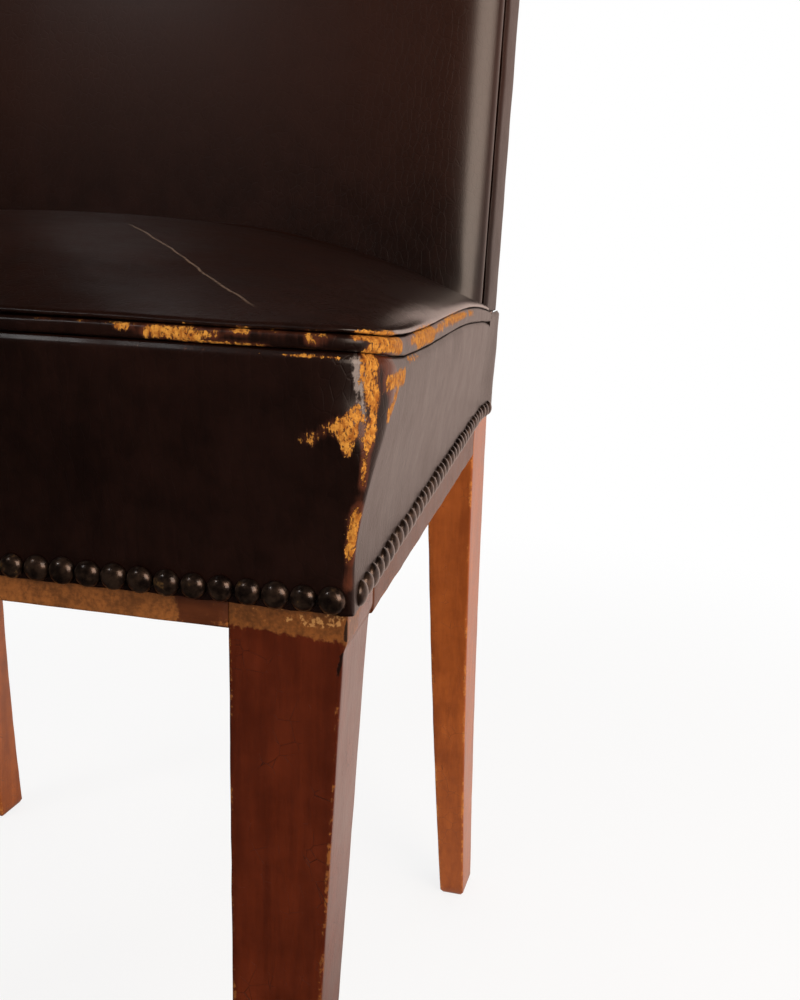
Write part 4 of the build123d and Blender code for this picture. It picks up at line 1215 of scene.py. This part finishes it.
def nail_tree(material):
    """Nodes that set a domed nail on each point, each a little tilted and turned, with a fixed seed."""
    tree = bpy.data.node_groups.new("Dome nail row", "GeometryNodeTree")
    n = Nodes(tree)
    face = tree.interface
    face.new_socket("Geometry", in_out="INPUT", socket_type="NodeSocketGeometry")
    sizes = {"Head radius": nail_diameter / 2, "Head rise": nail_rise, "Shank radius": nail_shank / 2,
             "Length": nail_length, "Tilt": 0.09}
    for name, value in sizes.items():
        face.new_socket(name, in_out="INPUT", socket_type="NodeSocketFloat").default_value = value
    face.new_socket("Seed", in_out="INPUT", socket_type="NodeSocketInt").default_value = 3
    face.new_socket("Geometry", in_out="OUTPUT", socket_type="NodeSocketGeometry")
    given = {socket.name: Field(n, socket) for socket in tree.nodes.new("NodeGroupInput").outputs}
    radius, length, seed = given["Head radius"], given["Length"], given["Seed"]

    # The upper half of a ball over a flat underside, and a shank under it
    ball = n.node("GeometryNodeMeshUVSphere", output="Mesh", Segments=18, Rings=12, Radius=1)
    x, y, z = n.axes(n.node("GeometryNodeInputPosition"))
    dome = n.node("GeometryNodeSetPosition", Geometry=ball, Position=n.vector(x, y, z.most(0)))
    dome = n.node("GeometryNodeTransform", Geometry=dome, Scale=n.vector(radius, radius, given["Head rise"]))
    shank_radius = given["Shank radius"]
    shank = n.node("GeometryNodeMeshCylinder", output="Mesh", Vertices=8, Radius=shank_radius, Depth=length)
    shank = n.node("GeometryNodeTransform", Geometry=shank, Translation=n.vector(0, 0, length * -0.5))
    both = n.node("GeometryNodeJoinGeometry", Geometry=shank)
    tree.links.new(dome.socket, both.socket.node.inputs[0])
    nail = n.node("GeometryNodeSetShadeSmooth", Geometry=both)

    def chance(kind, output, **range_of):
        return n.node("FunctionNodeRandomValue", {"data_type": kind}, output, Seed=seed, **range_of)

    outward = n.node("GeometryNodeInputNamedAttribute", {"data_type": "FLOAT_VECTOR"}, Name="outward")
    low, high = (n.node("ShaderNodeVectorMath", {"operation": "SCALE"}, Vector=[way] * 3, Scale=given["Tilt"])
                 for way in (-1, 1))
    aim = n.node("ShaderNodeVectorMath", {"operation": "ADD"}, Vector=outward,
                 Vector_001=chance("FLOAT_VECTOR", 0, Min=low, Max=high))
    turn = n.node("FunctionNodeAlignRotationToVector", {"axis": "Z"}, Vector=aim)
    row = n.node("GeometryNodeInstanceOnPoints", Points=given["Geometry"], Instance=nail, Rotation=turn,
                 Scale=chance("FLOAT", 1, Min_001=0.95, Max_001=1.03))
    real = n.node("GeometryNodeRealizeInstances", Geometry=row)
    n.node("NodeGroupOutput", Geometry=n.node("GeometryNodeSetMaterial", Geometry=real, Material=material))
    return tree


def nails(material):
    """One piece for each row of dome nails."""
    tree = nail_tree(material)
    seed_socket = next(s for s in tree.interface.items_tree if s.name == "Seed")
    for number, (name, row) in enumerate(nail_places().items()):
        points = [place + Vector((0, 0, uneven(place, 7 * mm, 0.5 * mm))) for place, outward in row]
        thing = mesh_object("dome_" + name, points, [])
        attribute = thing.data.attributes.new("outward", "FLOAT_VECTOR", "POINT")
        attribute.data.foreach_set("vector", np.array([tuple(o) for p, o in row], np.float32).ravel())
        row_of = thing.modifiers.new("Row", "NODES")
        row_of.node_group = tree
        row_of[seed_socket.identifier] = number + 3
        baked(thing)
        add(thing, material, "dome_nails", name)


def pale_floor():
    """A floor that is white to the camera with soft shadows, and a warm glow in reflections."""
    wide = 9
    near_reach, far_reach = 0.3, 1.3
    near_white = 0.82
    corners = [(-wide, -wide, 0), (wide, -wide, 0), (wide, wide, 0), (-wide, wide, 0)]
    floor = mesh_object("floor", corners, [(0, 1, 2, 3)])
    p = paint("pale_floor")
    x, y, z = p.axes(p.place)
    pale = p.colour(p.cloud(3), (0.83, 0.83, 0.83), (0.86, 0.86, 0.86))
    diffuse = p.node("ShaderNodeBsdfDiffuse", Color=pale)
    glow = (y + x * 0.5 - 0.12).step(dark_side, white_side) * (1 - dark_share) + dark_share
    mirror = p.rays("Glossy")
    tint = p.colour(mirror, white, warm)
    shine = p.node("ShaderNodeEmission", Color=tint, Strength=mirror * (glow - 1) + 1)
    far = (x * x + y * y).step(near_reach**2, far_reach**2)
    share = mirror + p.rays("Camera") * (far * (1 - near_white) + near_white)
    ground = p.node("ShaderNodeMixShader", Fac=share, Shader=diffuse, Shader_001=shine)
    p.node("ShaderNodeOutputMaterial", Surface=ground)
    dress(floor, p.owner)


def studio():
    """White surroundings to the camera, and in reflections a warm wall behind on the right."""
    ambient = 0.5
    world = bpy.data.worlds.new("studio")
    bpy.context.scene.world = world
    p = Paint(world, "Generated")
    x, y, z = p.axes(p.place)
    wall = (y + x * 0.5).step(dark_side, white_side) * (1 - z.step(0.15, 0.5)) * (1 - dark_share) + dark_share
    wall = wall * (x.step(-0.65, -0.2) * 0.7 + 0.3)
    mirror = p.rays("Glossy")
    strength = mirror * (wall - ambient) + ambient
    strength = p.rays("Camera") * (1 - strength) + strength
    sky = p.node("ShaderNodeBackground", Color=p.colour(mirror, white, warm), Strength=strength)
    p.node("ShaderNodeOutputWorld", Surface=sky)


def lamps():
    """Soft studio lamps aimed at the seat. Those that don't shine leave no highlight."""
    target = Vector((0.1, 0, 0.42))
    for name, place, size, watts, tone, shines in (
        ("key_light", (-1.3, -1.7, 2.2), 0.35, 6, white, True),
        ("front_light", (-0.9, -1.9, 1.9), 1.6, 12, (1, 0.97, 0.93), False),
        ("window_light", (1.73, -1.22, 1.24), 1.25, 32, (1, 0.8, 0.66), True),
        ("side_light", (2.3, 0.15, 1.05), 1.3, 12, (1, 0.8, 0.68), False),
        ("top_light", (0.2, 0.6, 2.4), 1.4, 9, white, False),
    ):
        lamp = bpy.data.lights.new(name, "AREA")
        lamp.size = size
        lamp.energy = watts
        lamp.color = tone
        thing = bpy.data.objects.new(name, lamp)
        thing.location = place
        thing.visible_glossy = shines
        thing.rotation_euler = (target - Vector(place)).to_track_quat("-Z", "Y").to_euler()
        bpy.context.scene.collection.objects.link(thing)


def camera():
    """The photograph's own view: a 43.2 mm lens on a 36 mm tall picture, close to the front right corner."""
    lens = bpy.data.cameras.new("camera")
    lens.lens = 43.2
    lens.sensor_width = 36
    lens.clip_start = 0.02
    thing = bpy.data.objects.new("camera", lens)
    turn, tilt, roll = math.radians(14.214), math.radians(13.385), math.radians(1.902)
    look = Euler((0, 0, turn)).to_matrix() @ Euler((math.pi / 2 - tilt, 0, 0)).to_matrix()
    thing.rotation_euler = (look @ Euler((0, 0, roll)).to_matrix()).to_euler()
    thing.location = (0.34661, -0.61907, 0.49668)
    bpy.context.scene.collection.objects.link(thing)
    bpy.context.scene.camera = thing


def dress_frame():
    """Gives the wood, metal and cloth inside the chair their finish, on the fixed frame's own pieces."""
    finishes = {
        "hidden_wood": plain_wood(),
        "steel_screws": plain_metal("steel_screws", (0.3, 0.29, 0.27), (0.5, 0.49, 0.46)),
        "blued_tacks": plain_metal("blued_tacks", (0.03, 0.035, 0.05), (0.1, 0.11, 0.14)),
        "webbing": woven("webbing", 1.6 * mm, (0.26, 0.19, 0.11), (0.5, 0.4, 0.26), 0.6),
        "hessian": woven("hessian", 2.6 * mm, (0.2, 0.13, 0.07), (0.56, 0.43, 0.26), 0.8),
    }
    for part in frame["record"]["subparts"]:
        if part["material_slot"] in finishes:
            dress(frame["nodes"][part["node"]], finishes[part["material_slot"]])


def chair():
    """Every piece of the chair."""
    hide = leather()
    leg_wood = timber("front_leg_wood", (0.05, 0.0062, 0.0006), (0.105, 0.014, 0.0012), (0.2, 0.063, 0.009),
                      # The rear legs' wood is the front legs' wood painted several times lighter, for the light
                      # falling on the rear legs
                      along=2, rough=0.36)
    rear_wood_painted_lit = timber("rear_leg_wood", (0.23, 0.05, 0.006), (0.42, 0.105, 0.014), (0.5, 0.17, 0.03),
                       along=2, rough=0.36)
    rail_wood = timber("rail_wood", (0.05, 0.011, 0.0022), (0.1, 0.025, 0.005), (0.24, 0.08, 0.015),
                       along=0, rough=0.46, bare_share=0.22, gloss=0.22)
    black = woven("black_cloth", 0.9 * mm, (0.006, 0.006, 0.006), (0.03, 0.03, 0.03), 0.7)
    for side in (-1, 1):
        front_leg(side, leg_wood)
        rear_leg(side, rear_wood_painted_lit)
    rails(rail_wood)
    for leather_piece in (seat_cushion, seat_band, seat_border, inside_back, back_border, outside_back):
        leather_piece(hide)
    bottoming(black)
    nails(dome_metal())
    dress_frame()


chair()
pale_floor()
studio()
lamps()
camera()
bpy.context.scene.view_settings.view_transform = "Standard"
